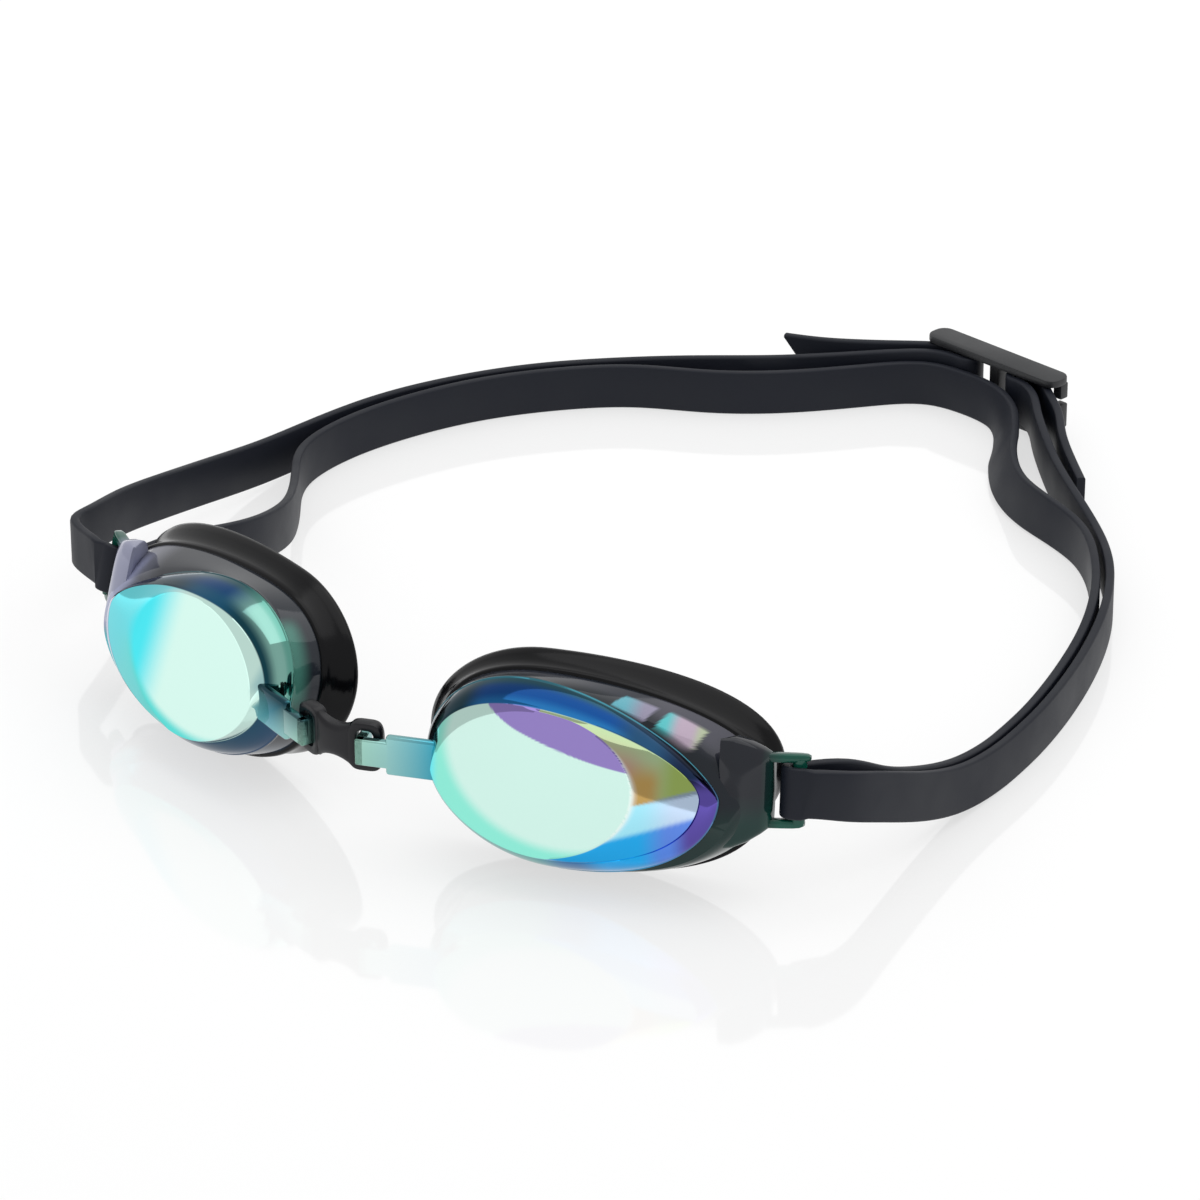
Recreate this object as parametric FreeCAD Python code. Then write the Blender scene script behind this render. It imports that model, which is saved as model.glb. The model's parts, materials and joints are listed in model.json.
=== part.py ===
import FreeCAD, Part
import math
import os

from FreeCAD import Matrix, Vector

# Swim goggles standing on a table, as they rest when the strap has been pulled back behind them.
# Millimetres. +Z is up and the lenses look along -Y. The wearer's left is +X.
# Everything is designed about the middle of the nosepiece. The last function moves it all so that
# the origin is the middle of the bottom of the bounding box.

# ---- lenses: one rigid moulding each, described in its own (u, v, n) axes ----
# u runs from the nose to the temple, v runs up the lens, n points out of its front face.
LENS_CENTRE = Vector(37.2, 0.3, 18.4)
LENS_WRAP_DEG = 16.8
LENS_PITCH_DEG = 13.0
LENS_ROLL_DEG = 2.4
FACE_HALF_WIDTH = 21.7
FACE_HALF_HEIGHT = 11.2
FLAT_CENTRE_U = -5.9
FLAT_HALF_WIDTH = 15.4
FLAT_HALF_HEIGHT = 10.6
FLAT_RISE = 1.1
RIM_HALF_WIDTH = 24.4
RIM_TOP = 14.6
RIM_BOTTOM = 13.2
RIM_DEPTH = 4.6
SEAT_CENTRE_U = 1.6
SEAT_HALF_WIDTH = 27.0
SEAT_TOP = 15.4
SEAT_BOTTOM = 13.4
SEAT_DEPTH = 10.2
SEAT_FULLNESS = 0.86
LENS_WALL = 1.5
NOSE_TAPER = -0.2

# ---- temple wing, with the upright bar that the strap is looped round ----
BAR_U = 34.0
BAR_V = 0.3
BAR_DEPTH = 10.2
BAR_RADIUS = 1.1
SLOT_HEIGHT = 8.8
SLOT_WIDTH = 3.7
ARM_THICK = 1.5
WING_FRONT = [(19.0, -2.6), (25.5, -4.9), (31.0, -7.5), (35.3, -9.4)]
WING_BACK = [(35.3, -11.2), (30.6, -10.2), (25.0, -8.6), (19.0, -7.0)]
WING_ROOT_LOW = [(21.0, -7.6), (27.0, -7.2)]
WING_ROOT_HIGH = [(27.0, 7.8), (21.0, 8.2)]
WING_TIP_U = 36.2
WING_TIP_CHAMFER = 1.4
WING_REACH = 14.0

# ---- soft gasket behind each lens: how far it stands outside the seat at each depth ----
GASKET_STEP = 0.3
GASKET_WAIST = 0.7
GASKET_FLARE = 1.3
GASKET_ROUNDING = 0.7
GASKET_DEPTH = 15.2
GASKET_LIP = 4.2
GASKET_WALL_IN = 0.6

# ---- nose tab of each lens: shoulder, neck and the peg that hooks into the nosepiece ----
TAB_END = Vector(9.7, -8.0, 18.2)
TAB_ANGLE_DEG = 20.0
TAB_THICK = 1.5
SHOULDER_HEIGHT = 6.6
SHOULDER_LENGTH = 8.5
NECK_HEIGHT = 4.4
NECK_LENGTH = 4.9
PEG_THICK = 1.5
PEG_REACH = 4.7

# ---- nosepiece: a closed loop at each end, joined by a short soft bridge ----
LOOP_BAR_PLACE = 1.25
LOOP_END = 6.6
LOOP_HEIGHT = 8.2
LOOP_THICK = 2.2
LOOP_BACK = 1.8
LOOP_WEB = 1.2
WINDOW_HEIGHT = 5.0
BRIDGE_HEIGHT = 5.6
BRIDGE_THICK = 2.8
BRIDGE_Y = -7.4

# ---- strap: one flat silicone band ----
STRAP_WIDTH = 8.0
STRAP_THICK = 1.5
BAR_CLEARANCE = 0.25
FOLD_RADIUS = BAR_RADIUS + BAR_CLEARANCE + STRAP_THICK / 2
FOLD_LEAD = 1.2
LEFT_FOLD_DEG = (62, 220)
RIGHT_FOLD_DEG = (84, 168)
STRAP_LOW = STRAP_WIDTH / 2
SECTION_PITCH = 3.2

# ---- rear clip, described along its own length s and its outward direction t ----
CLIP_CENTRE = Vector(-3.2, 187.0, 5.6)
CLIP_TURN_DEG = -9.9
CLIP_LENGTH = 30.4
CLIP_DEPTH = 5.2
CLIP_RAIL = 1.4
CLIP_WINDOW = 8.4
CLIP_BAR_S = 6.4
CLIP_BAR_T = -0.7
CLIP_CORNER = 2.2
CLIP_MIDDLE_HALF = 1.1
CLIP_MIDDLE_INNER = 0.9
CLIP_POST = 1.9
CLIP_POST_DEPTH = 1.9
CLIP_POST_INSET = 0.4
CLIP_GAP = 1.0
CLIP_GAP_Z = 6.4

# Where the band's middle line runs: x, y, height of its middle, lean of its top to the left in degrees.
# The loop leaves the left temple, and each run starts at a temple bar.
LEFT_OUTER_RUN = [
    (72.0, 23.8, 16.9, -2),
    (73.2, 32.0, 13.6, 0),
    (73.6, 43.0, 9.0, 0),
    (73.8, 54.0, 5.6, 0),
    (73.4, 66.0, 4.1, 0),
    (72.0, 80.0, STRAP_LOW, 0),
    (69.0, 94.5, STRAP_LOW, 0),
    (64.8, 108.5, STRAP_LOW, 0),
    (59.0, 122.5, STRAP_LOW, 0),
    (51.2, 135.2, STRAP_LOW, 0),
    (41.6, 145.6, STRAP_LOW, 0),
    (32.2, 154.4, STRAP_LOW, 0),
    (23.8, 162.5, 4.2, 0),
    (17.0, 169.8, 4.8, 0),
    (12.4, 175.2, 5.3, 0),
    (8.6, 179.9, 5.5, 0),
]
LEFT_TAIL = [
    (7.6, 185.0, 5.6, 0),
    (11.4, 181.2, 5.5, 0),
    (15.4, 177.2, 5.2, 0),
    (19.9, 171.2, 4.8, 0),
    (25.8, 164.4, 4.3, 0),
    (32.2, 157.7, STRAP_LOW, 0),
]
INNER_RUN = [
    (68.4, 26.0, 17.0, 0),
    (71.1, 34.0, 13.2, 0),
    (71.6, 43.0, 9.2, 0),
    (71.8, 54.0, 5.8, 0),
    (71.4, 66.0, 4.1, 0),
    (70.0, 80.0, STRAP_LOW, 0),
    (67.0, 94.0, STRAP_LOW, 0),
    (62.8, 108.0, STRAP_LOW, 0),
    (57.0, 121.5, STRAP_LOW, 0),
    (50.0, 133.0, STRAP_LOW, 0),
    (41.6, 142.0, 4.1, -2),
    (32.0, 147.3, 4.1, -6),
    (24.0, 151.4, 4.1, -12),
    (16.8, 158.0, 4.1, -24),
    (11.0, 166.8, 4.0, -32),
    (6.2, 175.0, 4.1, -22),
    (-0.2, 181.0, 4.1, -4),
    (-8.2, 183.2, STRAP_LOW, 0),
    (-14.6, 182.9, STRAP_LOW, 0),
    (-23.0, 176.2, STRAP_LOW, 0),
    (-34.0, 164.8, STRAP_LOW, 0),
    (-45.0, 157.2, STRAP_LOW, 0),
    (-56.6, 151.6, STRAP_LOW, 0),
    (-66.4, 143.2, STRAP_LOW, 0),
    (-75.6, 131.0, STRAP_LOW, 0),
    (-81.8, 117.0, STRAP_LOW, 0),
    (-84.8, 103.0, STRAP_LOW, 0),
    (-83.6, 91.0, 4.2, 0),
    (-77.0, 80.2, 5.2, 0),
    (-69.6, 69.8, 7.4, 0),
    (-63.6, 59.4, 10.4, 0),
    (-60.0, 48.0, 13.4, 0),
    (-59.4, 37.0, 16.2, 0),
    (-61.6, 28.0, 17.4, 0),
]
RIGHT_OUTER_RUN = [
    (-74.4, 21.6, 17.6, 0),
    (-78.8, 24.6, 17.2, 0),
    (-81.0, 30.4, 16.2, 0),
    (-84.2, 42.0, 13.8, 0),
    (-87.0, 56.0, 10.6, 0),
    (-88.6, 72.0, 7.4, 0),
    (-89.2, 87.0, 5.0, 0),
    (-88.6, 101.0, 4.1, 0),
    (-85.6, 115.6, STRAP_LOW, 0),
    (-80.0, 128.6, STRAP_LOW, 0),
    (-71.4, 141.6, STRAP_LOW, 0),
    (-60.6, 152.6, STRAP_LOW, 0),
    (-49.6, 161.6, STRAP_LOW, 0),
    (-38.0, 169.6, 4.2, 0),
    (-28.0, 176.8, 4.8, 0),
    (-21.0, 181.8, 5.3, 0),
    (-15.6, 185.0, 5.5, 0),
]
RIGHT_TAIL = [
    (-13.8, 189.3, 5.6, 0),
    (-18.0, 187.4, 5.6, 0),
    (-23.4, 184.0, 5.6, 0),
    (-29.0, 180.6, 5.6, 0),
    (-35.0, 178.1, 5.4, 0),
    (-41.2, 176.5, 5.2, 0),
]
NOTCH_DEPTH = 3.2
NOTCH_REACH = 5.0


def carried(shape, matrix):
    """A copy of the shape, moved rigidly by the matrix."""
    moved = shape.copy()
    moved.Placement = FreeCAD.Placement(matrix).multiply(moved.Placement)
    return moved


def lens_axes():
    """Unit vectors u, v, n of the left lens."""
    wrap = math.radians(LENS_WRAP_DEG)
    pitch = math.radians(LENS_PITCH_DEG)
    roll = math.radians(LENS_ROLL_DEG)
    flat_u = Vector(math.cos(wrap), math.sin(wrap), 0)
    level_n = Vector(math.sin(wrap), -math.cos(wrap), 0)
    n = level_n * math.cos(pitch) + Vector(0, 0, math.sin(pitch))
    flat_v = n.cross(flat_u)
    u = flat_u * math.cos(roll) + flat_v * math.sin(roll)
    return u, n.cross(u), n


def lens_matrix():
    """Carries the left lens's own axes into the design frame."""
    u, v, n = lens_axes()
    c = LENS_CENTRE
    return Matrix(u.x, v.x, n.x, c.x, u.y, v.y, n.y, c.y, u.z, v.z, n.z, c.z, 0, 0, 0, 1)


def on_lens(u, v, n):
    """A point of the left lens, in the design frame."""
    return lens_matrix().multVec(Vector(u, v, n))


def teardrop(centre_u, half_width, top, bottom, n, taper=NOSE_TAPER, fullness=1.0):
    """Closed outline that is fuller at the nose than at the temple."""
    points = []
    count = 28
    for step in range(count):
        angle = 2 * math.pi * step / count
        cos_a = math.cos(angle)
        sin_a = math.sin(angle)
        reach = top if sin_a > 0 else bottom
        rise = math.copysign(abs(sin_a) ** fullness, sin_a) * reach * (1 + taper * cos_a)
        points.append(Vector(centre_u + half_width * cos_a, rise, n))
    curve = Part.BSplineCurve()
    curve.interpolate(points, PeriodicFlag=True)
    return Part.Wire([curve.toShape()])


def lens_outline(depth, inset=0.0):
    """Outline of the lens wall at a depth behind the face, moved inwards by inset."""
    if depth <= RIM_DEPTH:
        part = depth / RIM_DEPTH
        centre = 0.0
        width = FACE_HALF_WIDTH + (RIM_HALF_WIDTH - FACE_HALF_WIDTH) * part
        top = FACE_HALF_HEIGHT + (RIM_TOP - FACE_HALF_HEIGHT) * part
        bottom = FACE_HALF_HEIGHT + (RIM_BOTTOM - FACE_HALF_HEIGHT) * part
    else:
        part = (depth - RIM_DEPTH) / (SEAT_DEPTH - RIM_DEPTH)
        centre = SEAT_CENTRE_U * part
        width = RIM_HALF_WIDTH + (SEAT_HALF_WIDTH - RIM_HALF_WIDTH) * part
        top = RIM_TOP + (SEAT_TOP - RIM_TOP) * part
        bottom = RIM_BOTTOM + (SEAT_BOTTOM - RIM_BOTTOM) * part
    fullness = 1.0 - (1.0 - SEAT_FULLNESS) * depth / SEAT_DEPTH
    return teardrop(centre, width - inset, top - inset, bottom - inset, -depth, fullness=fullness)


def make_lens_shell():
    """Face plate, bevel and side wall as one hollow cup, open at the back."""
    flat_zone = teardrop(FLAT_CENTRE_U, FLAT_HALF_WIDTH, FLAT_HALF_HEIGHT, FLAT_HALF_HEIGHT,
                         FLAT_RISE, taper=-0.04)
    front = Part.makeLoft([flat_zone, lens_outline(0)], True, True)
    bevel = Part.makeLoft([lens_outline(0), lens_outline(RIM_DEPTH)], True, True)
    wall = Part.makeLoft([lens_outline(RIM_DEPTH), lens_outline(SEAT_DEPTH)], True, True)
    outside = front.fuse([bevel, wall])
    inside = [lens_outline(depth, LENS_WALL) for depth in (LENS_WALL, RIM_DEPTH, SEAT_DEPTH)]
    hollow_front = Part.makeLoft(inside[:2], True, True)
    hollow_back = Part.makeLoft(inside[1:], True, True)
    return outside, hollow_front.fuse(hollow_back)


def box_between(low, high):
    """Box from its lowest to its highest corner."""
    size = high - low
    return Part.makeBox(size.x, size.y, size.z, low)


def make_wing():
    """Plate from the side wall out to the strap bar, in lens axes."""
    outer = [Vector(u, 0, n) for u, n in WING_FRONT]
    inner = [Vector(u, 0, n) for u, n in WING_BACK]
    front_edge = Part.BSplineCurve()
    front_edge.interpolate(outer)
    back_edge = Part.BSplineCurve()
    back_edge.interpolate(inner)
    ends = [Part.makeLine(outer[-1], inner[0]), Part.makeLine(inner[-1], outer[0])]
    section = Part.Face(Part.Wire([front_edge.toShape(), ends[0], back_edge.toShape(), ends[1]]))
    section.translate(Vector(0, -WING_REACH, 0))
    plate = section.extrude(Vector(0, 2 * WING_REACH, 0))
    half = SLOT_HEIGHT / 2 + ARM_THICK
    short = half - WING_TIP_CHAMFER
    low_side = WING_ROOT_LOW + [(BAR_U, BAR_V - half), (WING_TIP_U, BAR_V - short)]
    high_side = [(WING_TIP_U, BAR_V + short), (BAR_U, BAR_V + half)] + WING_ROOT_HIGH
    corners = [Vector(u, v, -WING_REACH) for u, v in low_side + high_side]
    outline = Part.Face(Part.makePolygon(corners + corners[:1])).extrude(Vector(0, 0, WING_REACH))
    return plate.common(outline)


def make_slot():
    """Space that the strap passes through, just on the nose side of the bar."""
    low = Vector(BAR_U - SLOT_WIDTH, BAR_V - SLOT_HEIGHT / 2, -WING_REACH)
    return box_between(low, Vector(WING_TIP_U + 1, BAR_V + SLOT_HEIGHT / 2, 0))


def make_bar():
    """Upright bar between the wing's two arms."""
    low = Vector(BAR_U, BAR_V - SLOT_HEIGHT / 2 - ARM_THICK / 2, -BAR_DEPTH)
    return Part.makeCylinder(BAR_RADIUS, SLOT_HEIGHT + ARM_THICK, low, Vector(0, 1, 0))


def tab_matrix():
    """Tab axes in the design frame: x back along the tab, y behind it and z up, from the shoulder's end."""
    turn = math.radians(TAB_ANGLE_DEG)
    along = Vector(math.cos(turn), math.sin(turn), 0)
    behind = Vector(-math.sin(turn), math.cos(turn), 0)
    e = TAB_END
    return Matrix(along.x, behind.x, 0, e.x, along.y, behind.y, 0, e.y, 0, 0, 1, e.z, 0, 0, 0, 1)


def upright_plate(near, far, front, back, height):
    """Box centred on the tab's height, from near to far past the shoulder's end, in tab axes."""
    return box_between(Vector(-far, front, -height / 2), Vector(-near, back, height / 2))


def make_nose_hook():
    """Shoulder, neck and peg, in the design frame."""
    shoulder = upright_plate(-SHOULDER_LENGTH, 0, 0, TAB_THICK, SHOULDER_HEIGHT)
    neck = upright_plate(-0.5, NECK_LENGTH, 0, TAB_THICK, NECK_HEIGHT)
    peg = upright_plate(NECK_LENGTH - PEG_THICK, NECK_LENGTH, 0, PEG_REACH, NECK_HEIGHT)
    hook = shoulder.fuse([neck, peg])
    hook = hook.removeSplitter()
    return carried(hook, tab_matrix())


def make_lens():
    """Left lens in the design frame: cup, wing with bar, and nose hook."""
    outside, hollow = make_lens_shell()
    body = outside.fuse(make_wing())
    body = body.cut(make_slot())
    body = body.fuse(make_bar())
    body = carried(body, lens_matrix())
    body = body.fuse(make_nose_hook())
    return body.cut(carried(hollow, lens_matrix()))


def make_gasket():
    """Soft ring behind the lens wall, flaring out to the lip that rests on the face."""
    seat = (SEAT_CENTRE_U, SEAT_HALF_WIDTH, SEAT_TOP, SEAT_BOTTOM)

    def ring(grow, depth):
        centre, width, top, bottom = seat
        return teardrop(centre, width + grow, top + grow, bottom + grow, -depth, fullness=SEAT_FULLNESS)

    middle = (SEAT_DEPTH + GASKET_DEPTH) / 2
    last = GASKET_DEPTH
    outer = Part.makeLoft([ring(GASKET_STEP, SEAT_DEPTH), ring(GASKET_WAIST, middle),
                           ring(GASKET_FLARE, last - GASKET_ROUNDING),
                           ring(GASKET_FLARE - GASKET_ROUNDING, last)], True, True)
    inner = Part.makeLoft([ring(-LENS_WALL, SEAT_DEPTH), ring(-LENS_WALL - GASKET_WALL_IN, middle),
                           ring(GASKET_FLARE - GASKET_LIP, last)], True, True)
    return carried(outer.cut(inner), lens_matrix())


def make_loop():
    """One end loop of the nosepiece, in the design frame."""
    back = LOOP_BACK + LOOP_THICK
    plate = upright_plate(LOOP_BAR_PLACE, LOOP_END, LOOP_BACK, back, LOOP_HEIGHT)
    window = upright_plate(0, LOOP_END - LOOP_WEB, 0, 2 * back, WINDOW_HEIGHT)
    foot = Vector(-LOOP_BAR_PLACE, LOOP_BACK + LOOP_THICK / 2, -LOOP_HEIGHT / 2)
    bar = Part.makeCylinder(LOOP_THICK / 2, LOOP_HEIGHT, foot)
    return carried(plate.cut(window).fuse(bar), tab_matrix())


def make_nosepiece():
    """Two loops joined by the bridge."""
    loop = make_loop()
    mirrored = loop.mirror(Vector(0, 0, 0), Vector(1, 0, 0))
    inner_end = tab_matrix().multVec(Vector(0.6 - LOOP_END, LOOP_BACK + LOOP_THICK / 2, 0))

    def upright_section(x, y, height, thick, turn_deg):
        half = Vector(0, thick / 2, 0)
        up = Vector(0, 0, height / 2)
        corners = [-half - up, half - up, half + up, -half + up]
        wire = Part.makePolygon(corners + corners[:1])
        wire.rotate(Vector(0, 0, 0), Vector(0, 0, 1), turn_deg)
        wire.translate(Vector(x, y, TAB_END.z))
        return wire

    half_height = LOOP_HEIGHT - 1.2
    sections = [
        upright_section(inner_end.x, inner_end.y, half_height, LOOP_THICK, TAB_ANGLE_DEG),
        upright_section(0, BRIDGE_Y, BRIDGE_HEIGHT, BRIDGE_THICK, 0),
        upright_section(-inner_end.x, inner_end.y, half_height, LOOP_THICK, -TAB_ANGLE_DEG),
    ]
    bridge = Part.makeLoft(sections, True, False)
    return loop.fuse([mirrored, bridge])


def clip_matrix():
    """Clip axes in the design frame: s along it to the left temple's side, t away from the head."""
    turn = math.radians(CLIP_TURN_DEG)
    s = Vector(math.cos(turn), math.sin(turn), 0)
    t = Vector(-math.sin(turn), math.cos(turn), 0)
    c = CLIP_CENTRE
    return Matrix(s.x, t.x, 0, c.x, s.y, t.y, 0, c.y, 0, 0, 1, c.z, 0, 0, 0, 1)


def make_clip():
    """Two rails, a middle post, two adjuster bars and two split end posts."""
    half_length = CLIP_LENGTH / 2
    half_depth = CLIP_DEPTH / 2
    half_window = CLIP_WINDOW / 2
    pieces = []
    for low in (half_window, -half_window - CLIP_RAIL):
        rail = box_between(Vector(-half_length, -half_depth, low),
                           Vector(half_length, half_depth, low + CLIP_RAIL))
        ends = [edge for edge in rail.Edges if edge.BoundBox.ZLength > CLIP_RAIL - 0.01]
        pieces.append(rail.makeFillet(CLIP_CORNER, ends))
    back = half_depth - CLIP_POST_INSET
    middle = box_between(Vector(-CLIP_MIDDLE_HALF, -CLIP_MIDDLE_INNER, -half_window),
                         Vector(CLIP_MIDDLE_HALF, back, half_window))
    pieces.append(middle)
    gap = CLIP_GAP_Z - CLIP_CENTRE.z
    for side in (-1, 1):
        foot = Vector(side * CLIP_BAR_S, CLIP_BAR_T, -half_window)
        pieces.append(Part.makeCylinder(BAR_RADIUS, CLIP_WINDOW, foot))
        middle_s = side * (half_length - CLIP_POST_INSET - CLIP_POST / 2)
        for low, high in ((-half_window, gap - CLIP_GAP / 2), (gap + CLIP_GAP / 2, half_window)):
            stub = box_between(Vector(middle_s - CLIP_POST / 2, back - CLIP_POST_DEPTH, low),
                               Vector(middle_s + CLIP_POST / 2, back, high))
            pieces.append(stub)
    clip = pieces[0].fuse(pieces[1:])
    return carried(clip, clip_matrix())


def band_section(middle, across, through):
    """Closed rectangle of the band's cross-section."""
    a = across * (STRAP_WIDTH / 2)
    b = through * (STRAP_THICK / 2)
    corners = [middle - a - b, middle + a - b, middle + a + b, middle - a + b]
    return Part.makePolygon(corners + corners[:1])


def frame_at(middle, tangent, lean_deg):
    """Section of a standing band, leaning by lean_deg, square to its tangent."""
    along = Vector(tangent).normalize()
    level = Vector(0, 0, 1).cross(along).normalize()
    lean = math.radians(lean_deg)
    up = Vector(0, 0, math.cos(lean)) + level * math.sin(lean)
    up = (up - along * up.dot(along)).normalize()
    return band_section(middle, up, up.cross(along))


def blend_values(here, places, values):
    """Value at a place on the line, read straight between the places that have one."""
    for first in range(len(places) - 1):
        if places[first] <= here <= places[first + 1]:
            share = (here - places[first]) / (places[first + 1] - places[first])
            return values[first] + (values[first + 1] - values[first]) * share
    return values[0] if here < places[0] else values[-1]


def band_run(points, start, end=None):
    """Smooth band through route points; start and end are (middle, tangent, section) of a fold."""
    middles = [Vector(x, y, z) for x, y, z, lean in points]
    leans = [lean for x, y, z, lean in points]
    knots = [start[0], start[0] + start[1] * FOLD_LEAD] + middles
    if end:
        knots += [end[0] + end[1] * FOLD_LEAD, end[0]]
    line = Part.BSplineCurve()
    line.interpolate(knots)
    places = [line.parameter(middle) for middle in middles]
    stations = line.toShape().discretize(Number=max(4, round(line.length() / SECTION_PITCH)))
    sections = [start[2]]
    for middle in stations[1:-1]:
        here = line.parameter(middle)
        lean = blend_values(here, places, leans)
        middle.z = max(middle.z, STRAP_LOW)
        sections.append(frame_at(middle, line.tangent(here)[0], lean))
    last = end[2] if end else frame_at(middles[-1], line.tangent(line.LastParameter)[0], leans[-1])
    return Part.makeLoft(sections + [last], True, True)


def make_fold(centre, axis, start_dir, turn_deg):
    """Band bent round an upright bar, from start_dir through turn_deg, as a solid and its two ends.

    Each end is (middle, direction in which the band leaves the fold, section)."""
    outward = Vector(start_dir).normalize()
    up = Vector(axis).normalize()
    middle = centre + outward * FOLD_RADIUS
    section = band_section(middle, up, outward)
    solid = Part.Face(section).revolve(centre, up, turn_deg)
    onward = up.cross(outward) * math.copysign(1, turn_deg)
    turn = FreeCAD.Rotation(up, turn_deg)
    last_out = turn.multVec(outward)
    last_middle = centre + last_out * FOLD_RADIUS
    first = (middle, -onward, section)
    last = (last_middle, turn.multVec(onward), band_section(last_middle, up, last_out))
    return solid, first, last


def mirrored_x(vector):
    """The same point or direction on the other side of the nose."""
    return Vector(-vector.x, vector.y, vector.z)


def make_temple_fold(side, outer_deg, inner_deg):
    """Fold round a temple bar; the angles are where the outer and inner layers leave it."""
    u, v, n = lens_axes()
    centre = on_lens(BAR_U, BAR_V, -BAR_DEPTH)
    begin = u * math.cos(math.radians(outer_deg)) + n * math.sin(math.radians(outer_deg))
    turn = inner_deg - outer_deg
    if side < 0:
        centre, v, begin = mirrored_x(centre), mirrored_x(v), mirrored_x(begin)
    else:
        turn = -turn
    return make_fold(centre, v, begin, turn)


def make_clip_fold(side):
    """Fold round one of the clip's adjuster bars, from the strand to the tail."""
    carry = clip_matrix()
    centre = carry.multVec(Vector(side * CLIP_BAR_S, CLIP_BAR_T, 0))
    inward = carry.multVec(Vector(side * CLIP_BAR_S, CLIP_BAR_T - 1, 0)) - centre
    return make_fold(centre, Vector(0, 0, 1), inward, -180 * side)


def make_notch():
    """Wedge that leaves the right tail's end with a V cut in it."""
    tip, before = [Vector(*point[:3]) for point in (RIGHT_TAIL[-1], RIGHT_TAIL[-2])]
    along = (tip - before).normalize()
    level = Vector(0, 0, 1).cross(along).normalize() * NOTCH_REACH
    half = Vector(0, 0, STRAP_WIDTH / 2)
    corners = [tip - along * NOTCH_DEPTH, tip + along + half, tip + along - half]
    wedge = Part.Face(Part.makePolygon([corner - level for corner in corners + corners[:1]]))
    return wedge.extrude(level * 2)


def make_strap():
    """The whole band: tail, fold, outer strand, temple, inner strand, temple, outer strand, fold, tail."""
    left_fold, left_outer, left_inner = make_temple_fold(1, *LEFT_FOLD_DEG)
    right_fold, right_outer, right_inner = make_temple_fold(-1, *RIGHT_FOLD_DEG)
    left_clip, left_strand, left_end = make_clip_fold(1)
    right_clip, right_strand, right_end = make_clip_fold(-1)
    bands = [left_fold, right_fold, left_clip, right_clip]
    bands.append(band_run(LEFT_OUTER_RUN, left_outer, left_strand))
    bands.append(band_run(INNER_RUN, left_inner, right_inner))
    bands.append(band_run(RIGHT_OUTER_RUN, right_outer, right_strand))
    bands.append(band_run(LEFT_TAIL, left_end))
    bands.append(band_run(RIGHT_TAIL, right_end))
    return bands[0].fuse(bands[1:]).cut(make_notch())


def make_nodes():
    """Every piece in the design frame."""
    lens = make_lens()
    gasket = make_gasket()
    across = (Vector(0, 0, 0), Vector(1, 0, 0))
    return {
        "left_lens": lens,
        "right_lens": lens.mirror(*across),
        "left_gasket": gasket,
        "right_gasket": gasket.mirror(*across),
        "nosepiece": make_nosepiece(),
        "head_strap": make_strap(),
        "strap_clip": make_clip(),
    }


def place_on_origin(nodes):
    """Moves every piece so that the origin is the middle of the bottom of the bounding box."""
    box = Part.makeCompound(list(nodes.values())).optimalBoundingBox()
    shift = Vector(-box.Center.x, -box.Center.y, -box.ZMin)
    for shape in nodes.values():
        shape.translate(shift)
    print("shift", shift, "size", box.XLength, box.YLength, box.ZLength)


def main():
    os.makedirs("parts", exist_ok=True)
    nodes = make_nodes()
    place_on_origin(nodes)
    for name, shape in nodes.items():
        print(name, shape.ShapeType, len(shape.Solids), shape.isValid(), round(shape.Volume, 1))
        shape.exportStep("parts/" + name + ".step")


main()
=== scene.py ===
"""Swim goggles standing on a pale table: mirrored lenses, soft gaskets, nosepiece, strap and rear clip."""

import json
import math

import bmesh
import bpy
import numpy as np
from mathutils import Matrix, Vector


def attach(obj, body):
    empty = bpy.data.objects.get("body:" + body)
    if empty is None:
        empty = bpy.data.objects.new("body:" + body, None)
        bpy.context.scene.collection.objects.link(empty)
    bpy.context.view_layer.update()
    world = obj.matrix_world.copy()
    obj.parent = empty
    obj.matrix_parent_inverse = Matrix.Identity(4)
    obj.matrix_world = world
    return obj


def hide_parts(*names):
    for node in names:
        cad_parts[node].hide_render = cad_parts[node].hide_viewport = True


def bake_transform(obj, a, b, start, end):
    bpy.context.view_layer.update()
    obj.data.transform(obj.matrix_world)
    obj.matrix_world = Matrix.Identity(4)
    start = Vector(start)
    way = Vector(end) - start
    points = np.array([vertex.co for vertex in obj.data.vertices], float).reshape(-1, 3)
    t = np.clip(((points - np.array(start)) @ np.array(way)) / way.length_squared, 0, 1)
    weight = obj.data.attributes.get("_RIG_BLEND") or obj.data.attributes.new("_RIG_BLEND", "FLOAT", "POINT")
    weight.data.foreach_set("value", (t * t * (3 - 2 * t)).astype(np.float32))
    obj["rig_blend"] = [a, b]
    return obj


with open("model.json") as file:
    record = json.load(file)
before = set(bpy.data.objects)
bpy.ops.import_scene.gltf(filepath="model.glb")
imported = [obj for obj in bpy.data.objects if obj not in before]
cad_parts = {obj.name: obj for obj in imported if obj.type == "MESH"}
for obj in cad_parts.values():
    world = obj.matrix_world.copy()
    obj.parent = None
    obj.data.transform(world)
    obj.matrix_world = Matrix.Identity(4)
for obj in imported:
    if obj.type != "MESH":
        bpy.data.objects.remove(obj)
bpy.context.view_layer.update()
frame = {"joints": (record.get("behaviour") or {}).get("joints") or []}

MM = 0.001
ROOT = "strap_and_nosepiece"
LEFT = "left_lens_unit"
RIGHT = "right_lens_unit"
CLIP = "clip_unit"

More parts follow.
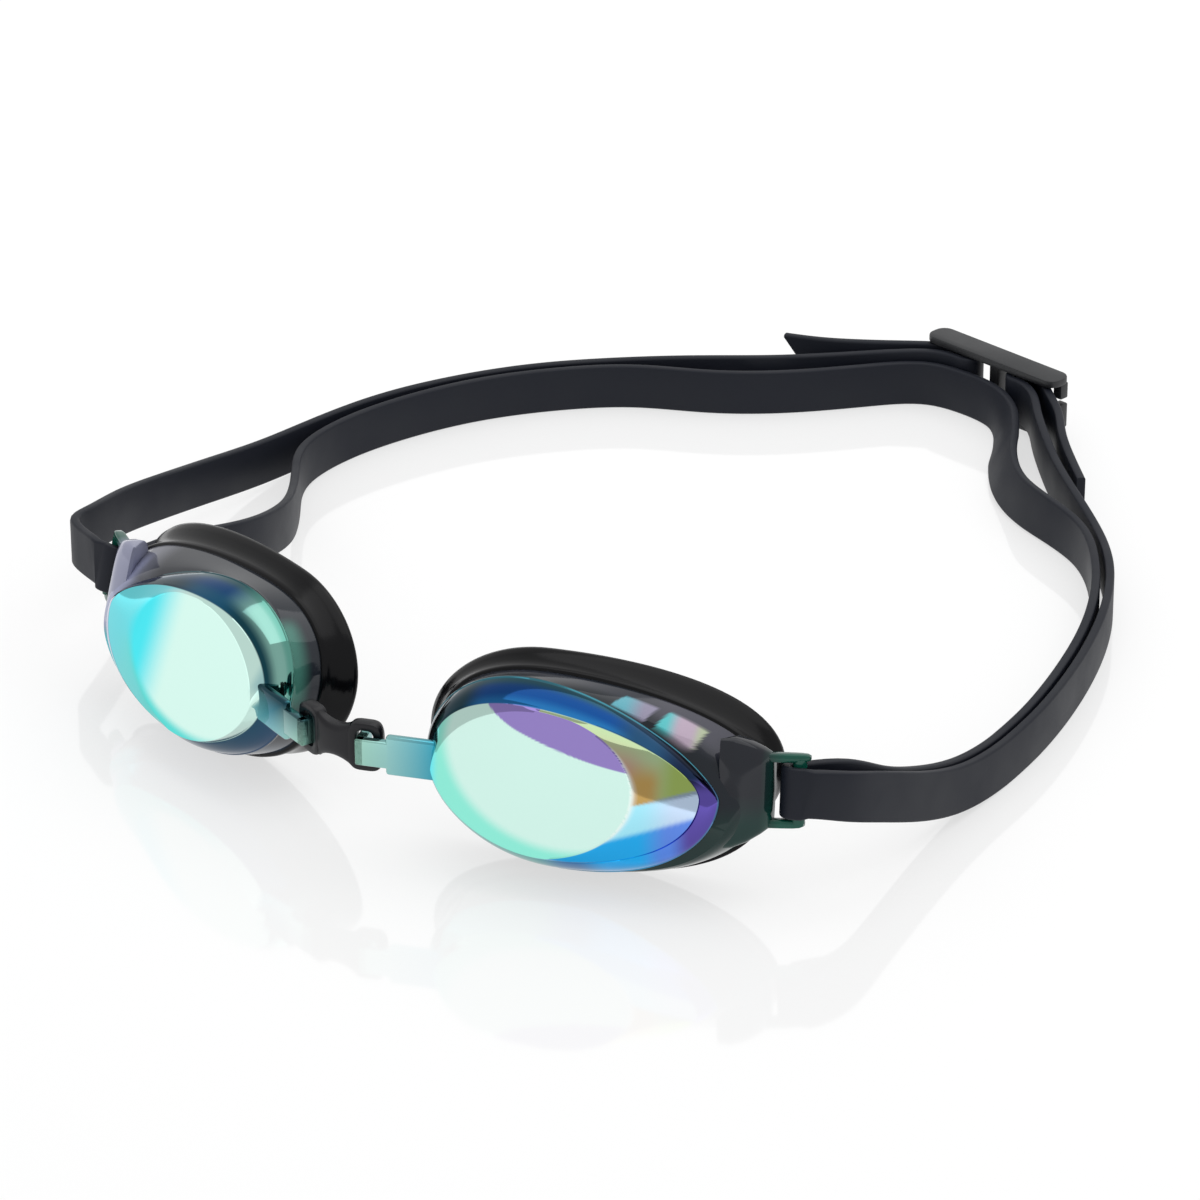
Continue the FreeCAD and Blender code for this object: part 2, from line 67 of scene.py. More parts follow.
# Lengths below are millimetres in the maker's own axes, whose origin lies on the table under the nose.
# Both nose hooks turn on upright pins, and the point halfway between the pins ties those axes to the frame.
PIN_MIDDLE = Vector((0.0, -5.7024, 18.2))
pins = [Vector(joint["pos_m"]) for joint in frame["joints"] if joint["type"] == "hinge"]
ORIGIN = (pins[0] + pins[1]) / 2 - PIN_MIDDLE * MM
TO_FRAME = Matrix.Translation(ORIGIN) @ Matrix.Scale(MM, 4)
MIRROR = Matrix.Scale(-1, 4, Vector((1, 0, 0)))


# ---------------------------------------------------------------- mesh helpers

def new_mesh():
    """An empty bmesh whose vertices carry their place along the row that they were extruded from."""
    bm = bmesh.new()
    bm.verts.layers.float.new("place")
    return bm


def place_layer(bm):
    return bm.verts.layers.float["place"]


def first_ring(bm, count, place):
    """Closed row of edges; place(share) gives each vertex, with share from 0 to 1 round the row."""
    made = bmesh.ops.create_circle(bm, cap_ends=False, segments=count, radius=1.0)["verts"]
    layer = place_layer(bm)
    edges = list({edge for vert in made for edge in vert.link_edges})
    for vert in made:
        vert[layer] = (math.atan2(vert.co.y, vert.co.x) / (2 * math.pi)) % 1.0
        vert.co = place(vert[layer])
    return edges


def grow(bm, edges, place):
    """Extrudes a row of edges, and puts each new vertex where place says."""
    layer = place_layer(bm)
    made = bmesh.ops.extrude_edge_only(bm, edges=edges)["geom"]
    fresh = {item for item in made if isinstance(item, bmesh.types.BMVert)}
    for vert in fresh:
        vert.co = place(vert[layer])
    return [edge for edge in {e for v in fresh for e in v.link_edges}
            if edge.verts[0] in fresh and edge.verts[1] in fresh]


def loft(bm, count, places, cap_first=True, cap_last=True):
    """Skin through closed rows, each given by its own place function."""
    edges = first_ring(bm, count, places[0])
    if cap_first:
        bmesh.ops.holes_fill(bm, edges=edges, sides=0)
    for place in places[1:]:
        edges = grow(bm, edges, place)
    if cap_last:
        bmesh.ops.holes_fill(bm, edges=edges, sides=0)
    return bm


def add_box(bm, low, high, turn=None):
    """Box from its lowest to its highest corner, as a piece of bm."""
    low, high = Vector(low), Vector(high)
    matrix = Matrix.Translation((low + high) / 2) @ Matrix.Diagonal((high - low).to_4d())
    made = bmesh.ops.create_cube(bm, size=1.0, matrix=(turn @ matrix) if turn else matrix)["verts"]
    return made


def add_rod(bm, foot, head, radius, segments=24):
    """Round rod between two points."""
    foot, head = Vector(foot), Vector(head)
    axis = head - foot
    matrix = Matrix.Translation((foot + head) / 2) @ axis.to_track_quat("Z", "Y").to_matrix().to_4x4()
    return bmesh.ops.create_cone(bm, cap_ends=True, segments=segments, radius1=radius, radius2=radius,
                                 depth=axis.length, matrix=matrix)["verts"]


def round_edges(bm, verts, width, segments=3, pick=None):
    """Rounds the edges between these vertices; pick chooses among them."""
    edges = list({edge for vert in verts for edge in vert.link_edges})
    if pick:
        edges = [edge for edge in edges if pick(edge)]
    bmesh.ops.bevel(bm, geom=edges, offset=width, offset_type="OFFSET", affect="EDGES", segments=segments,
                    profile=0.5, material=-1, clamp_overlap=True)


def finish_piece(bm, name, material, matrix=None, smooth_deg=40.0):
    """Makes bm an object of that name, with its place in its mesh."""
    if matrix is not None:
        bmesh.ops.transform(bm, matrix=matrix, verts=bm.verts)
    bmesh.ops.recalc_face_normals(bm, faces=bm.faces)
    for face in bm.faces:
        face.smooth = True
    limit = math.radians(smooth_deg)
    for edge in bm.edges:
        if len(edge.link_faces) == 2 and edge.calc_face_angle(0.0) > limit:
            edge.smooth = False
    mesh = bpy.data.meshes.new(name)
    bm.to_mesh(mesh)
    bm.free()
    obj = bpy.data.objects.new(name, mesh)
    bpy.context.scene.collection.objects.link(obj)
    for one in material if isinstance(material, (list, tuple)) else [material]:
        mesh.materials.append(one)
    return obj


def smooth(low, high, value):
    """0 below low, 1 above high, and an even turn between them. Works for low above high too."""
    share = (value - low) / (high - low)
    share = min(1.0, max(0.0, share))
    return share * share * (3 - 2 * share)


def mix(a, b, share):
    return tuple(x + (y - x) * share for x, y in zip(a, b))


# ---------------------------------------------------------------- lens shape, in lens axes (u, v, n)
# u runs from the nose to the temple, v up the lens, n out of its face.

LENS_CENTRE = Vector((37.2, 0.3, 18.4))
WRAP, PITCH, ROLL = math.radians(16.8), math.radians(13.0), math.radians(2.4)


def lens_axes():
    flat_u = Vector((math.cos(WRAP), math.sin(WRAP), 0))
    level_n = Vector((math.sin(WRAP), -math.cos(WRAP), 0))
    n = level_n * math.cos(PITCH) + Vector((0, 0, math.sin(PITCH)))
    flat_v = n.cross(flat_u)
    u = flat_u * math.cos(ROLL) + flat_v * math.sin(ROLL)
    return u, n.cross(u), n


def lens_matrix():
    u, v, n = lens_axes()
    turn = Matrix((u, v, n)).transposed().to_4x4()
    return Matrix.Translation(LENS_CENTRE) @ turn


CORE_U = -3.0
CORE_HALF_U = 15.4
CORE_HALF_V = 10.6

# The flat oval in the middle of the face.
OVAL_MIDDLE = (-5.0, -0.5)
OVAL_HALVES = (16.0, 11.5)
OVAL_STEPS = 30
CORNER_STEPS = 18


def oval_line():
    """Points round the flat oval."""
    turns = [2 * math.pi * step / OVAL_STEPS for step in range(OVAL_STEPS)]
    return [(OVAL_MIDDLE[0] + OVAL_HALVES[0] * math.cos(turn),
             OVAL_MIDDLE[1] + OVAL_HALVES[1] * math.sin(turn)) for turn in turns]


def rounded_line(temple, top, nose, bottom, handles):
    """Points round a closed curve that is upright at its temple and nose ends and level at its top and bottom.

    handles gives the fullness of each quarter at its start and end, from the temple over the top.
    """
    quarters = [(temple, top, (temple[0], top[1])), (top, nose, (nose[0], top[1])),
                (nose, bottom, (nose[0], bottom[1])), (bottom, temple, (temple[0], bottom[1]))]
    line = []
    for (start, end, corner), (leaving, arriving) in zip(quarters, handles):
        first = mix(start, corner, leaving)
        second = mix(end, corner, arriving)
        for step in range(CORNER_STEPS):
            share = step / CORNER_STEPS
            rest = 1 - share
            weights = (rest ** 3, 3 * rest ** 2 * share, 3 * rest * share ** 2, share ** 3)
            line.append(tuple(sum(weight * value for weight, value in zip(weights, values))
                              for values in zip(start, first, second, end)))
    return line


# The moulding and gasket from front to back, each by its temple, top, nose and bottom ends as (u, v).
FACE_LINE = rounded_line((21.0, -0.5), (-8.5, 11.5), (-21.5, 2.0), (-2.5, -12.0),
                         [(0.4, 0.4), (0.6, 0.6), (0.5, 0.5), (0.6, 0.6)])
RIM_LINE = rounded_line((23.5, -1.0), (-8.5, 14.5), (-23.5, 1.5), (0.0, -14.5),
                        [(0.2, 0.45), (0.6, 0.6), (0.55, 0.55), (0.55, 0.55)])
SEAT_LINE = rounded_line((29.5, 0.5), (-7.5, 14.5), (-23.5, 2.5), (1.5, -15.0),
                         [(0.75, 0.3), (0.65, 0.65), (0.6, 0.6), (0.65, 0.65)])
LIP_LINE = rounded_line((30.5, 2.5), (-8.0, 17.0), (-26.5, 3.5), (1.0, -15.0),
                        [(0.85, 0.35), (0.55, 0.55), (0.55, 0.55), (0.55, 0.55)])


def outline(points):
    """Reach of a closed line at any turn from its core, read from a few of its points."""
    rows = sorted((math.atan2(v / CORE_HALF_V, (u - CORE_U) / CORE_HALF_U) % (2 * math.pi),
                   math.hypot(v / CORE_HALF_V, (u - CORE_U) / CORE_HALF_U)) for u, v in points)
    turns = [row[0] for row in rows]
    reaches = [row[1] for row in rows]
    turns = [turns[-2] - 2 * math.pi, turns[-1] - 2 * math.pi] + turns + [turns[0] + 2 * math.pi, turns[1] + 2 * math.pi]
    reaches = reaches[-2:] + reaches + reaches[:2]

    def reach(turn):
        turn %= 2 * math.pi
        at = 1
        while turns[at + 1] < turn:
            at += 1
        width = turns[at + 1] - turns[at]
        share = (turn - turns[at]) / width
        slope_a = (reaches[at + 1] - reaches[at - 1]) / (turns[at + 1] - turns[at - 1]) * width
        slope_b = (reaches[at + 2] - reaches[at]) / (turns[at + 2] - turns[at]) * width
        s2, s3 = share * share, share ** 3
        return (reaches[at] * (2 * s3 - 3 * s2 + 1) + reaches[at + 1] * (3 * s2 - 2 * s3)
                + slope_a * (s3 - 2 * s2 + share) + slope_b * (s3 - s2))

    return reach


oval_reach, face_reach, rim_reach = outline(oval_line()), outline(FACE_LINE), outline(RIM_LINE)
seat_reach, lip_reach = outline(SEAT_LINE), outline(LIP_LINE)


def flat_reach(turn):
    """Reach of the flat oval, which just touches the edge of the face over its top and bottom."""
    return min(oval_reach(turn), 0.985 * face_reach(turn))


FACE_LEVEL = -0.2
FACE_SADDLE = 0.9
FACE_SADDLE_TURN = math.radians(15)


def face_edge(turn):
    """Depth of the edge of the face, which dips at both ends and rises over the top and bottom."""
    return FACE_LEVEL - FACE_SADDLE * math.cos(2 * (turn - FACE_SADDLE_TURN))


def at_reach(reach, turn, n):
    return Vector((CORE_U + CORE_HALF_U * reach * math.cos(turn), CORE_HALF_V * reach * math.sin(turn), n))


def level(reach_of, n, inset=0.0, bulge=0.0):
    """Row of the lens at one depth. inset is in millimetres; n may be a function of the turn."""
    def place(share):
        turn = 2 * math.pi * share
        reach = reach_of(turn) - (inset - bulge) / math.hypot(CORE_HALF_U * math.cos(turn), CORE_HALF_V * math.sin(turn))
        return at_reach(reach, turn, n(turn) if callable(n) else n)
    return place


def between(first, second, share):
    """Reach part of the way from one line to another."""
    return lambda turn: first(turn) + (second(turn) - first(turn)) * share


FLAT_N = 1.1
RIM_N = -4.6
SEAT_N = -10.2
LENS_TURNS = 400
FLAT_ROWS = 44


def low_temple(turn):
    """1 at the lower temple corner of the moulding, fading to 0 about 50 degrees away."""
    away = abs((turn + math.radians(28) + math.pi) % (2 * math.pi) - math.pi)
    return smooth(math.radians(55), math.radians(5), away)


def rim_edge(turn):
    """Depth of the rim, which comes forward at the lower temple corner."""
    return RIM_N + 2.4 * low_temple(turn)


def lens_rows():
    """Rows from the middle of the face out over the rim and back to the seat."""
    rows = [level(lambda turn, s=step / FLAT_ROWS: flat_reach(turn) * s, FLAT_N) for step in range(1, FLAT_ROWS + 1)]
    for share in (0.03, 0.07, 0.12, 0.18, 0.25, 0.32, 0.39, 0.46, 0.53, 0.60, 0.67, 0.74, 0.81, 0.88, 0.94, 0.98):
        rows.append(level(between(flat_reach, face_reach, share),
                          lambda turn, s=share: FLAT_N + (face_edge(turn) - FLAT_N) * s ** 1.3))
    rows.append(level(face_reach, face_edge))
    rows.append(level(face_reach, lambda turn: face_edge(turn) - 0.2, -0.12))
    for share in (0.06, 0.14, 0.24, 0.34, 0.44, 0.54, 0.64, 0.74, 0.83, 0.91, 0.97):
        rows.append(level(between(face_reach, rim_reach, share),
                          lambda turn, s=share: face_edge(turn) + (rim_edge(turn) - face_edge(turn)) * s,
                          0.0, 0.45 * math.sin(math.pi * share)))
    for back, out in ((0.0, 0.12), (0.2, 0.16), (0.4, 0.04)):
        rows.append(level(rim_reach, lambda turn, b=back: rim_edge(turn) - b, -out))
    for step in range(1, 19):
        rows.append(level(lambda turn, s=step / 18: wall_reach(turn, s),
                          lambda turn, s=step / 18: rim_edge(turn) - 0.4 + (SEAT_N - rim_edge(turn) + 0.4) * s))
    return rows


def wall_reach(turn, share):
    """Reach of the wall from the rim to the seat; it leaves the rim as a flange at the lower temple corner."""
    return rim_reach(turn) + (seat_reach(turn) - rim_reach(turn)) * share ** (0.62 - 0.34 * low_temple(turn))


def inner_rows():
    """Rows of the hollow side, from the seat's inner edge to the middle of the back of the face."""
    rows = [level(seat_reach, SEAT_N, 1.5), level(between(rim_reach, seat_reach, 0.5), -7.4, 1.5),
            level(rim_reach, RIM_N, 1.5), level(face_reach, -2.6, 1.4), level(face_reach, -1.8, 3.0)]
    for share in (0.7, 0.4, 0.12):
        rows.append(level(lambda turn, s=share: flat_reach(turn) * s, -0.9))
    return rows


# ---------------------------------------------------------------- colours of the mirror coating, with its reflections painted in

# Tones of the reflections painted into the mirror coating.
MINT = (0.60, 0.84, 0.76)
AQUA = (0.26, 0.78, 0.64)
PURPLE = (0.27, 0.20, 0.50)


def lens_paint(u, v, n, side):
    """Colour of the coated moulding at a place, with reflections and highlights painted into it, and how much of a
    mirror it is there.
    """
    turn = math.atan2(v / CORE_HALF_V, (u - CORE_U) / CORE_HALF_U)
    reach = math.hypot(v / CORE_HALF_V, (u - CORE_U) / CORE_HALF_U)
    flat, face, rim = flat_reach(turn), face_reach(turn), rim_reach(turn)
    if n > face_edge(turn) - 0.1 and reach <= face * 1.002:
        beyond = (reach - flat) / max(0.01, face - flat)
        if side < 0:
            return right_face(u, v, beyond), 1.0
        return mix((0, 0, 0), left_face(u, v, beyond), 0.82), 1.0
    if n > rim_edge(turn) - 0.05:
        share = (face_edge(turn) - n) / (face_edge(turn) - rim_edge(turn))
        return (left_bevel if side > 0 else right_bevel)(u, v, share), 1.0
    return (left_wall if side > 0 else right_wall)(u, v, n), 0.1


def left_face(u, v, beyond):
    """Painted reflections on the face: pale oval with an aqua crescent and a purple streak, then the coloured fields
    beyond its temple edge.
    """
    crescent = smooth(1.0, 1.13, math.hypot((u - 1.0) / 18.6, (v - 6.0) / 15.4))
    colour = mix(MINT, AQUA, crescent)
    colour = mix(colour, (0.13, 0.76, 0.86), crescent * smooth(-19.6, -21.2, u))
    streak_edge = 5.0 - 0.33 * u + 0.009 * (u + 2) ** 2 + 0.05 * min(0.0, u + 7) ** 2
    colour = mix(colour, PURPLE, smooth(-0.12, 0.12, v - streak_edge) * smooth(-13.0, -12.0, u))
    if beyond > 0 and u > -4:
        # Beyond the temple edge: painted reflections, warm fields above the divide and pale blue below it.
        upper = mix((0.40, 0.54, 0.30), (0.50, 0.30, 0.24), smooth(8.5, 3.5, v + 0.3 * (u - 9)) * smooth(15.0, 10.0, u))
        upper = mix(upper, (0.50, 0.32, 0.10), smooth(9.0, 12.5, u) * smooth(17.0, 13.5, u) * smooth(5.5, 1.5, v))
        upper = mix(upper, (0.34, 0.46, 0.12), smooth(14.0, 17.5, u))
        lower = mix((0.38, 0.82, 0.96), (0.56, 0.70, 0.90), smooth(12.0, 18.0, u))
        divide = -2.2 + 0.29 * (u - 10.6)
        fields = mix(upper, lower, smooth(0.2, -0.2, v - divide))
        # A grey painted reflection along the divide.
        fields = mix(fields, (0.26, 0.34, 0.44), smooth(0.45, 0.15, abs(v - divide)) * smooth(12.0, 19.0, u))
        # A vivid blue band of painted reflection along the bottom.
        band = smooth(-0.5, 0.5, 0.35 * (u - 6.0) - 8.4 - v)
        fields = mix(fields, mix((0.02, 0.42, 0.88), (0.12, 0.26, 0.80), smooth(12.0, 17.0, u)), band)
        colour = mix(colour, fields, smooth(0.0, 0.05, beyond))
        # Painted highlight along the edge of the flat oval towards the temple.
        colour = mix(colour, (0.90, 0.95, 0.92), 0.55 * smooth(0.10, 0.03, beyond) * smooth(6.5, 9.0, u))
    return colour


def left_bevel(u, v, share):
    """Painted reflections on the bevel: dark blue over the top, navy above the temple tip, and a vivid blue band
    underneath it.
    """
    top = mix((0.010, 0.10, 0.26), (0.003, 0.045, 0.18), smooth(0.05, 0.35, share))
    top = mix(top, (0.006, 0.06, 0.09), smooth(0.55, 0.85, share))
    top = mix(top, (0.004, 0.03, 0.045), smooth(-13.0, -17.0, u))
    temple = mix((0.010, 0.045, 0.10), (0.003, 0.010, 0.032), smooth(13.0, 18.0, u))
    top = mix(top, temple, smooth(6.0, 11.0, u))
    low = mix((0.01, 0.16, 0.40), (0.01, 0.40, 0.85), smooth(2.0, 7.5, u))
    low = mix(low, (0.10, 0.24, 0.76), smooth(12.0, 16.0, u))
    low = mix(low, (0.10, 0.07, 0.34), smooth(16.5, 20.0, u))
    low = mix(low, (0.10, 0.40, 0.38), smooth(1.0, -5.0, u))
    colour = mix(low, top, smooth(-1.0, 1.6, v - 0.06 * u) if u > -15 else smooth(-3.0, 4.0, v))
    # Painted highlight along the rim line.
    return mix(colour, (0.06, 0.24, 0.30), smooth(0.93, 0.98, share) * 0.6)


def right_face(u, v, beyond):
    """Painted reflections on the face: cyan towards the temple and along the bottom, pale mint over the nose half."""
    inner = smooth(9.0, 0.0, u + 0.12 * v)
    colour = mix((0.05, 0.70, 0.78), MINT, inner)
    colour = mix(colour, (0.09, 0.64, 0.60), smooth(0.86, 1.04, math.hypot((u + 5.0) / 18.0, (v + 0.4) / 10.6)) * smooth(0.0, -4.0, v))
    colour = mix(colour, (0.02, 0.60, 0.68), smooth(9.0, 17.0, u + 0.3 * v))
    colour = mix(colour, (0.36, 0.60, 0.60), smooth(-19.6, -21.0, u) * smooth(1.5, 4.0, v))
    return mix(colour, (0.16, 0.62, 0.66), smooth(0.0, 0.3, beyond) * smooth(4.0, 8.0, u) * 0.5)


def right_bevel(u, v, share):
    """Painted reflections on the bevel: dark green at the temple, blue over the top, and a pale green painted highlight
    towards the nose.
    """
    top = mix((0.002, 0.03, 0.045), (0.004, 0.045, 0.09), smooth(0.2, 0.5, share))
    top = mix(top, mix((0.008, 0.09, 0.18), (0.002, 0.06, 0.19), smooth(0.2, 0.5, share)), smooth(6.0, -2.0, u))
    top = mix(top, (0.02, 0.09, 0.11), smooth(0.62, 0.92, share))
    nose = mix((0.006, 0.05, 0.07), (0.22, 0.44, 0.38), smooth(0.12, 0.5, share))
    nose = mix(nose, (0.12, 0.34, 0.28), smooth(0.7, 0.9, share))
    top = mix(top, nose, smooth(-6.0, -14.0, u))
    low = mix((0.02, 0.07, 0.12), (0.04, 0.08, 0.15), share)
    low = mix(low, (0.04, 0.42, 0.52), smooth(10.0, 14.0, u))
    low = mix(low, (0.36, 0.42, 0.60), smooth(16.0, 20.0, u) * smooth(-9.5, -6.5, v))
    return mix(low, top, smooth(-1.5, 3.0, v))


def left_wall(u, v, n):
    """Smoke side wall with a painted sheen, two small facets of painted reflection, and dark green underneath."""
    depth = (RIM_N - n) / (RIM_N - SEAT_N)
    # Painted sheen: lighter across the middle of the wall's depth, and paler at the upper temple.
    colour = mix((0.006, 0.010, 0.016), (0.030, 0.034, 0.046), smooth(0.25, 0.6, depth) * smooth(1.0, 0.8, depth))
    colour = mix(colour, (0.055, 0.055, 0.075), smooth(8.0, 14.0, u) * smooth(0.1, 0.5, depth) * smooth(2.0, 5.0, v))
    colour = mix(colour, (0.003, 0.022, 0.02), smooth(-1.0, -5.0, v))
    # Two facets carrying painted coloured reflections.
    lean = u - 3.0 * depth
    first = smooth(5.0, 5.3, lean) * smooth(10.6, 10.3, lean) * smooth(0.08, 0.12, depth) * smooth(0.62, 0.56, depth)
    colour = mix(colour, mix((0.10, 0.38, 0.46), (0.26, 0.24, 0.34), smooth(7.0, 10.5, u)), first * smooth(4.0, 6.0, v))
    second = smooth(12.0, 12.3, lean) * smooth(18.3, 18.0, lean) * smooth(0.10, 0.15, depth) * smooth(0.66, 0.60, depth)
    tone = mix((0.08, 0.50, 0.52), (0.46, 0.36, 0.46), smooth(13.8, 16.0, u))
    tone = mix(tone, (0.42, 0.48, 0.32), smooth(17.8, 19.2, u))
    return mix(colour, tone, second * smooth(2.0, 4.0, v))


def right_wall(u, v, n):
    """Smoke side wall with painted highlights at the temple end and painted coloured reflections low down."""
    colour = mix((0.018, 0.022, 0.030), (0.035, 0.038, 0.046), smooth(2.0, 12.0, u))
    # Painted highlights at the temple end: pale grey, and lavender low down.
    colour = mix(colour, (0.16, 0.165, 0.20), smooth(15.0, 22.0, u) * smooth(2.0, 6.0, v))
    colour = mix(colour, (0.34, 0.36, 0.52), smooth(20.0, 23.0, u) * smooth(-9.0, -5.0, v) * smooth(-9.4, -6.0, n))
    # Painted reflections: cyan low in the middle, green at the nose end.
    colour = mix(colour, (0.04, 0.46, 0.54), smooth(8.0, 12.0, u) * smooth(-5.0, -7.5, v) * smooth(-6.0, -3.5, n))
    colour = mix(colour, (0.06, 0.20, 0.16), smooth(-16.0, -19.0, u) * smooth(-8.6, -5.4, n) * smooth(-2.0, 3.0, v))
    return mix(colour, (0.02, 0.04, 0.07), smooth(-6.0, -10.0, v) * smooth(16.0, 12.0, u))


def wing_paint(u, v, side):
    """Smoke on the left wing and a painted pale highlight over the right wing, with a painted emerald reflection along
    the arms.
    """
    # The right wing's pale tone is a painted highlight.
    smoke_and_highlight = (0.010, 0.012, 0.018) if side > 0 else (0.30, 0.31, 0.42)
    colour = mix(smoke_and_highlight, (0.004, 0.03, 0.026), smooth(0.0, -5.0, v) if side > 0 else 0.0)
    # Painted emerald reflection along the arms.
    return mix(colour, (0.004, 0.08, 0.055), smooth(29.5, 31.5, u))


# ---------------------------------------------------------------- materials

def new_material(name):
    material = bpy.data.materials.new(name)
    material.use_nodes = True
    nodes, links = material.node_tree.nodes, material.node_tree.links
    shader = nodes["Principled BSDF"]
    return material, nodes, links, shader


def grain_group():
    """Fine moulding grain on object coordinates: a height for Bump and a mask for colour."""
    group = bpy.data.node_groups.new("moulding_grain", "ShaderNodeTree")
    face = group.interface
    face.new_socket("Fine Scale", in_out="INPUT", socket_type="NodeSocketFloat").default_value = 4000
    face.new_socket("Broad Scale", in_out="INPUT", socket_type="NodeSocketFloat").default_value = 120
    face.new_socket("Height", in_out="OUTPUT", socket_type="NodeSocketFloat")
    face.new_socket("Mottle", in_out="OUTPUT", socket_type="NodeSocketFloat")
    nodes, links = group.nodes, group.links
    enter, leave = nodes.new("NodeGroupInput"), nodes.new("NodeGroupOutput")
    place = nodes.new("ShaderNodeTexCoord")
    fine, broad = nodes.new("ShaderNodeTexNoise"), nodes.new("ShaderNodeTexNoise")
    fine.inputs["Detail"].default_value = 3
    broad.inputs["Detail"].default_value = 2
    for noise, scale in ((fine, "Fine Scale"), (broad, "Broad Scale")):
        links.new(place.outputs["Object"], noise.inputs["Vector"])
        links.new(enter.outputs[scale], noise.inputs["Scale"])
    links.new(fine.outputs["Fac"], leave.inputs["Height"])
    links.new(broad.outputs["Fac"], leave.inputs["Mottle"])
    return group


GRAIN = grain_group()


def add_grain(nodes, links, shader, fine, broad, depth, strength=0.3):
    """Places the grain group and a Bump; returns the group node."""
    grain = nodes.new("ShaderNodeGroup")
    grain.node_tree = GRAIN
    grain.inputs["Fine Scale"].default_value = fine
    grain.inputs["Broad Scale"].default_value = broad
    bump = nodes.new("ShaderNodeBump")
    bump.inputs["Distance"].default_value = depth
    bump.inputs["Strength"].default_value = strength
    links.new(grain.outputs["Height"], bump.inputs["Height"])
    links.new(bump.outputs["Normal"], shader.inputs["Normal"])
    return grain


def two_tones(nodes, links, shader, fac, first, second, socket="Base Color"):
    """Colour that wanders between two tones with a mask."""
    blend = nodes.new("ShaderNodeMix")
    blend.data_type = "RGBA"
    blend.inputs[6].default_value = (*first, 1)
    blend.inputs[7].default_value = (*second, 1)
    links.new(fac, blend.inputs[0])
    links.new(blend.outputs[2], shader.inputs[socket])


def spread(nodes, links, fac, low, high):
    """A number that runs from low to high with a mask."""
    node = nodes.new("ShaderNodeMapRange")
    node.inputs["From Min"].default_value = 0.3
    node.inputs["From Max"].default_value = 0.7
    node.inputs["To Min"].default_value = low
    node.inputs["To Max"].default_value = high
    links.new(fac, node.inputs["Value"])
    return node.outputs["Result"]


def plain_material(name, first, second, rough, fine, broad, depth, coat=0.0, specular=0.5, strength=0.3):
    material, nodes, links, shader = new_material(name)
    grain = add_grain(nodes, links, shader, fine, broad, depth, strength)
    two_tones(nodes, links, shader, grain.outputs["Mottle"], first, second)
    links.new(spread(nodes, links, grain.outputs["Mottle"], *rough), shader.inputs["Roughness"])
    shader.inputs["Coat Weight"].default_value = coat
    shader.inputs["Coat Roughness"].default_value = 0.12
    shader.inputs["Specular IOR Level"].default_value = specular
    return material


def coated_material():
    """Mirror-coated smoke plastic: its tint, with reflections and highlights painted into it, and how much it mirrors
    are painted on the piece.
    """
    material, nodes, links, shader = new_material("coated_lens")
    grain = add_grain(nodes, links, shader, 900, 60, 0.00001, 0.06)
    tint = nodes.new("ShaderNodeAttribute")
    tint.attribute_name = "coating_tint_and_reflections"
    mirror = nodes.new("ShaderNodeAttribute")
    mirror.attribute_name = "coating_mirror"
    links.new(tint.outputs["Color"], shader.inputs["Base Color"])
    links.new(mirror.outputs["Fac"], shader.inputs["Metallic"])
    links.new(spread(nodes, links, grain.outputs["Mottle"], 0.05, 0.10), shader.inputs["Roughness"])
    shader.inputs["Specular IOR Level"].default_value = 0.3
    shader.inputs["Coat Weight"].default_value = 0.10
    shader.inputs["Coat Roughness"].default_value = 0.03
    return material


COATED = coated_material()
LENS_BACK = plain_material("smoke_lens_back", (0.010, 0.012, 0.014), (0.018, 0.016, 0.022), (0.10, 0.16), 900, 90, 0.00001)
GASKET = plain_material("gasket_silicone", (0.0015, 0.0015, 0.002), (0.003, 0.003, 0.004), (0.14, 0.22), 1800, 140,
                        0.00002, specular=0.16)
NOSE_RUBBER = plain_material("nosepiece_rubber", (0.004, 0.004, 0.006), (0.007, 0.007, 0.010), (0.30, 0.42), 1800, 140,
                             0.00002, specular=0.32)
STRAP = plain_material("strap_silicone", (0.004, 0.006, 0.012), (0.007, 0.009, 0.017), (0.48, 0.60), 2600, 90, 0.00003,
                       specular=0.28)
CLIP_PLASTIC = plain_material("clip_plastic", (0.012, 0.013, 0.015), (0.017, 0.018, 0.021), (0.36, 0.48), 2200, 160,
                              0.00003)


# ---------------------------------------------------------------- lenses

BAR_U, BAR_V, BAR_N, BAR_RADIUS = 34.0, 0.3, -10.2, 1.1
SLOT_HIGH, ARM = 8.8, 1.5
TAB_END = Vector((9.7, -8.0, 18.2))
TAB_TURN = math.radians(20.0)


def paint(obj, matrix, colour_at):
    """Writes the coating's tint with its painted reflections, and its mirror share, on every vertex; matrix carries the
    painting's axes to the frame.
    """
    mesh = obj.data
    back = matrix.inverted()
    colours, shares = [], []
    for vert in mesh.vertices:
        colour, share = colour_at(*(back @ vert.co))
        colours.extend((*colour, 1.0))
        shares.append(share)
    mesh.attributes.new("coating_tint_and_reflections", "FLOAT_COLOR", "POINT").data.foreach_set("color", colours)
    mesh.attributes.new("coating_mirror", "FLOAT", "POINT").data.foreach_set("value", shares)


def placed(side, matrix):
    """Carries a left-hand piece's own axes to the frame, mirrored for the right hand."""
    return TO_FRAME @ (MIRROR if side < 0 else Matrix.Identity(4)) @ matrix


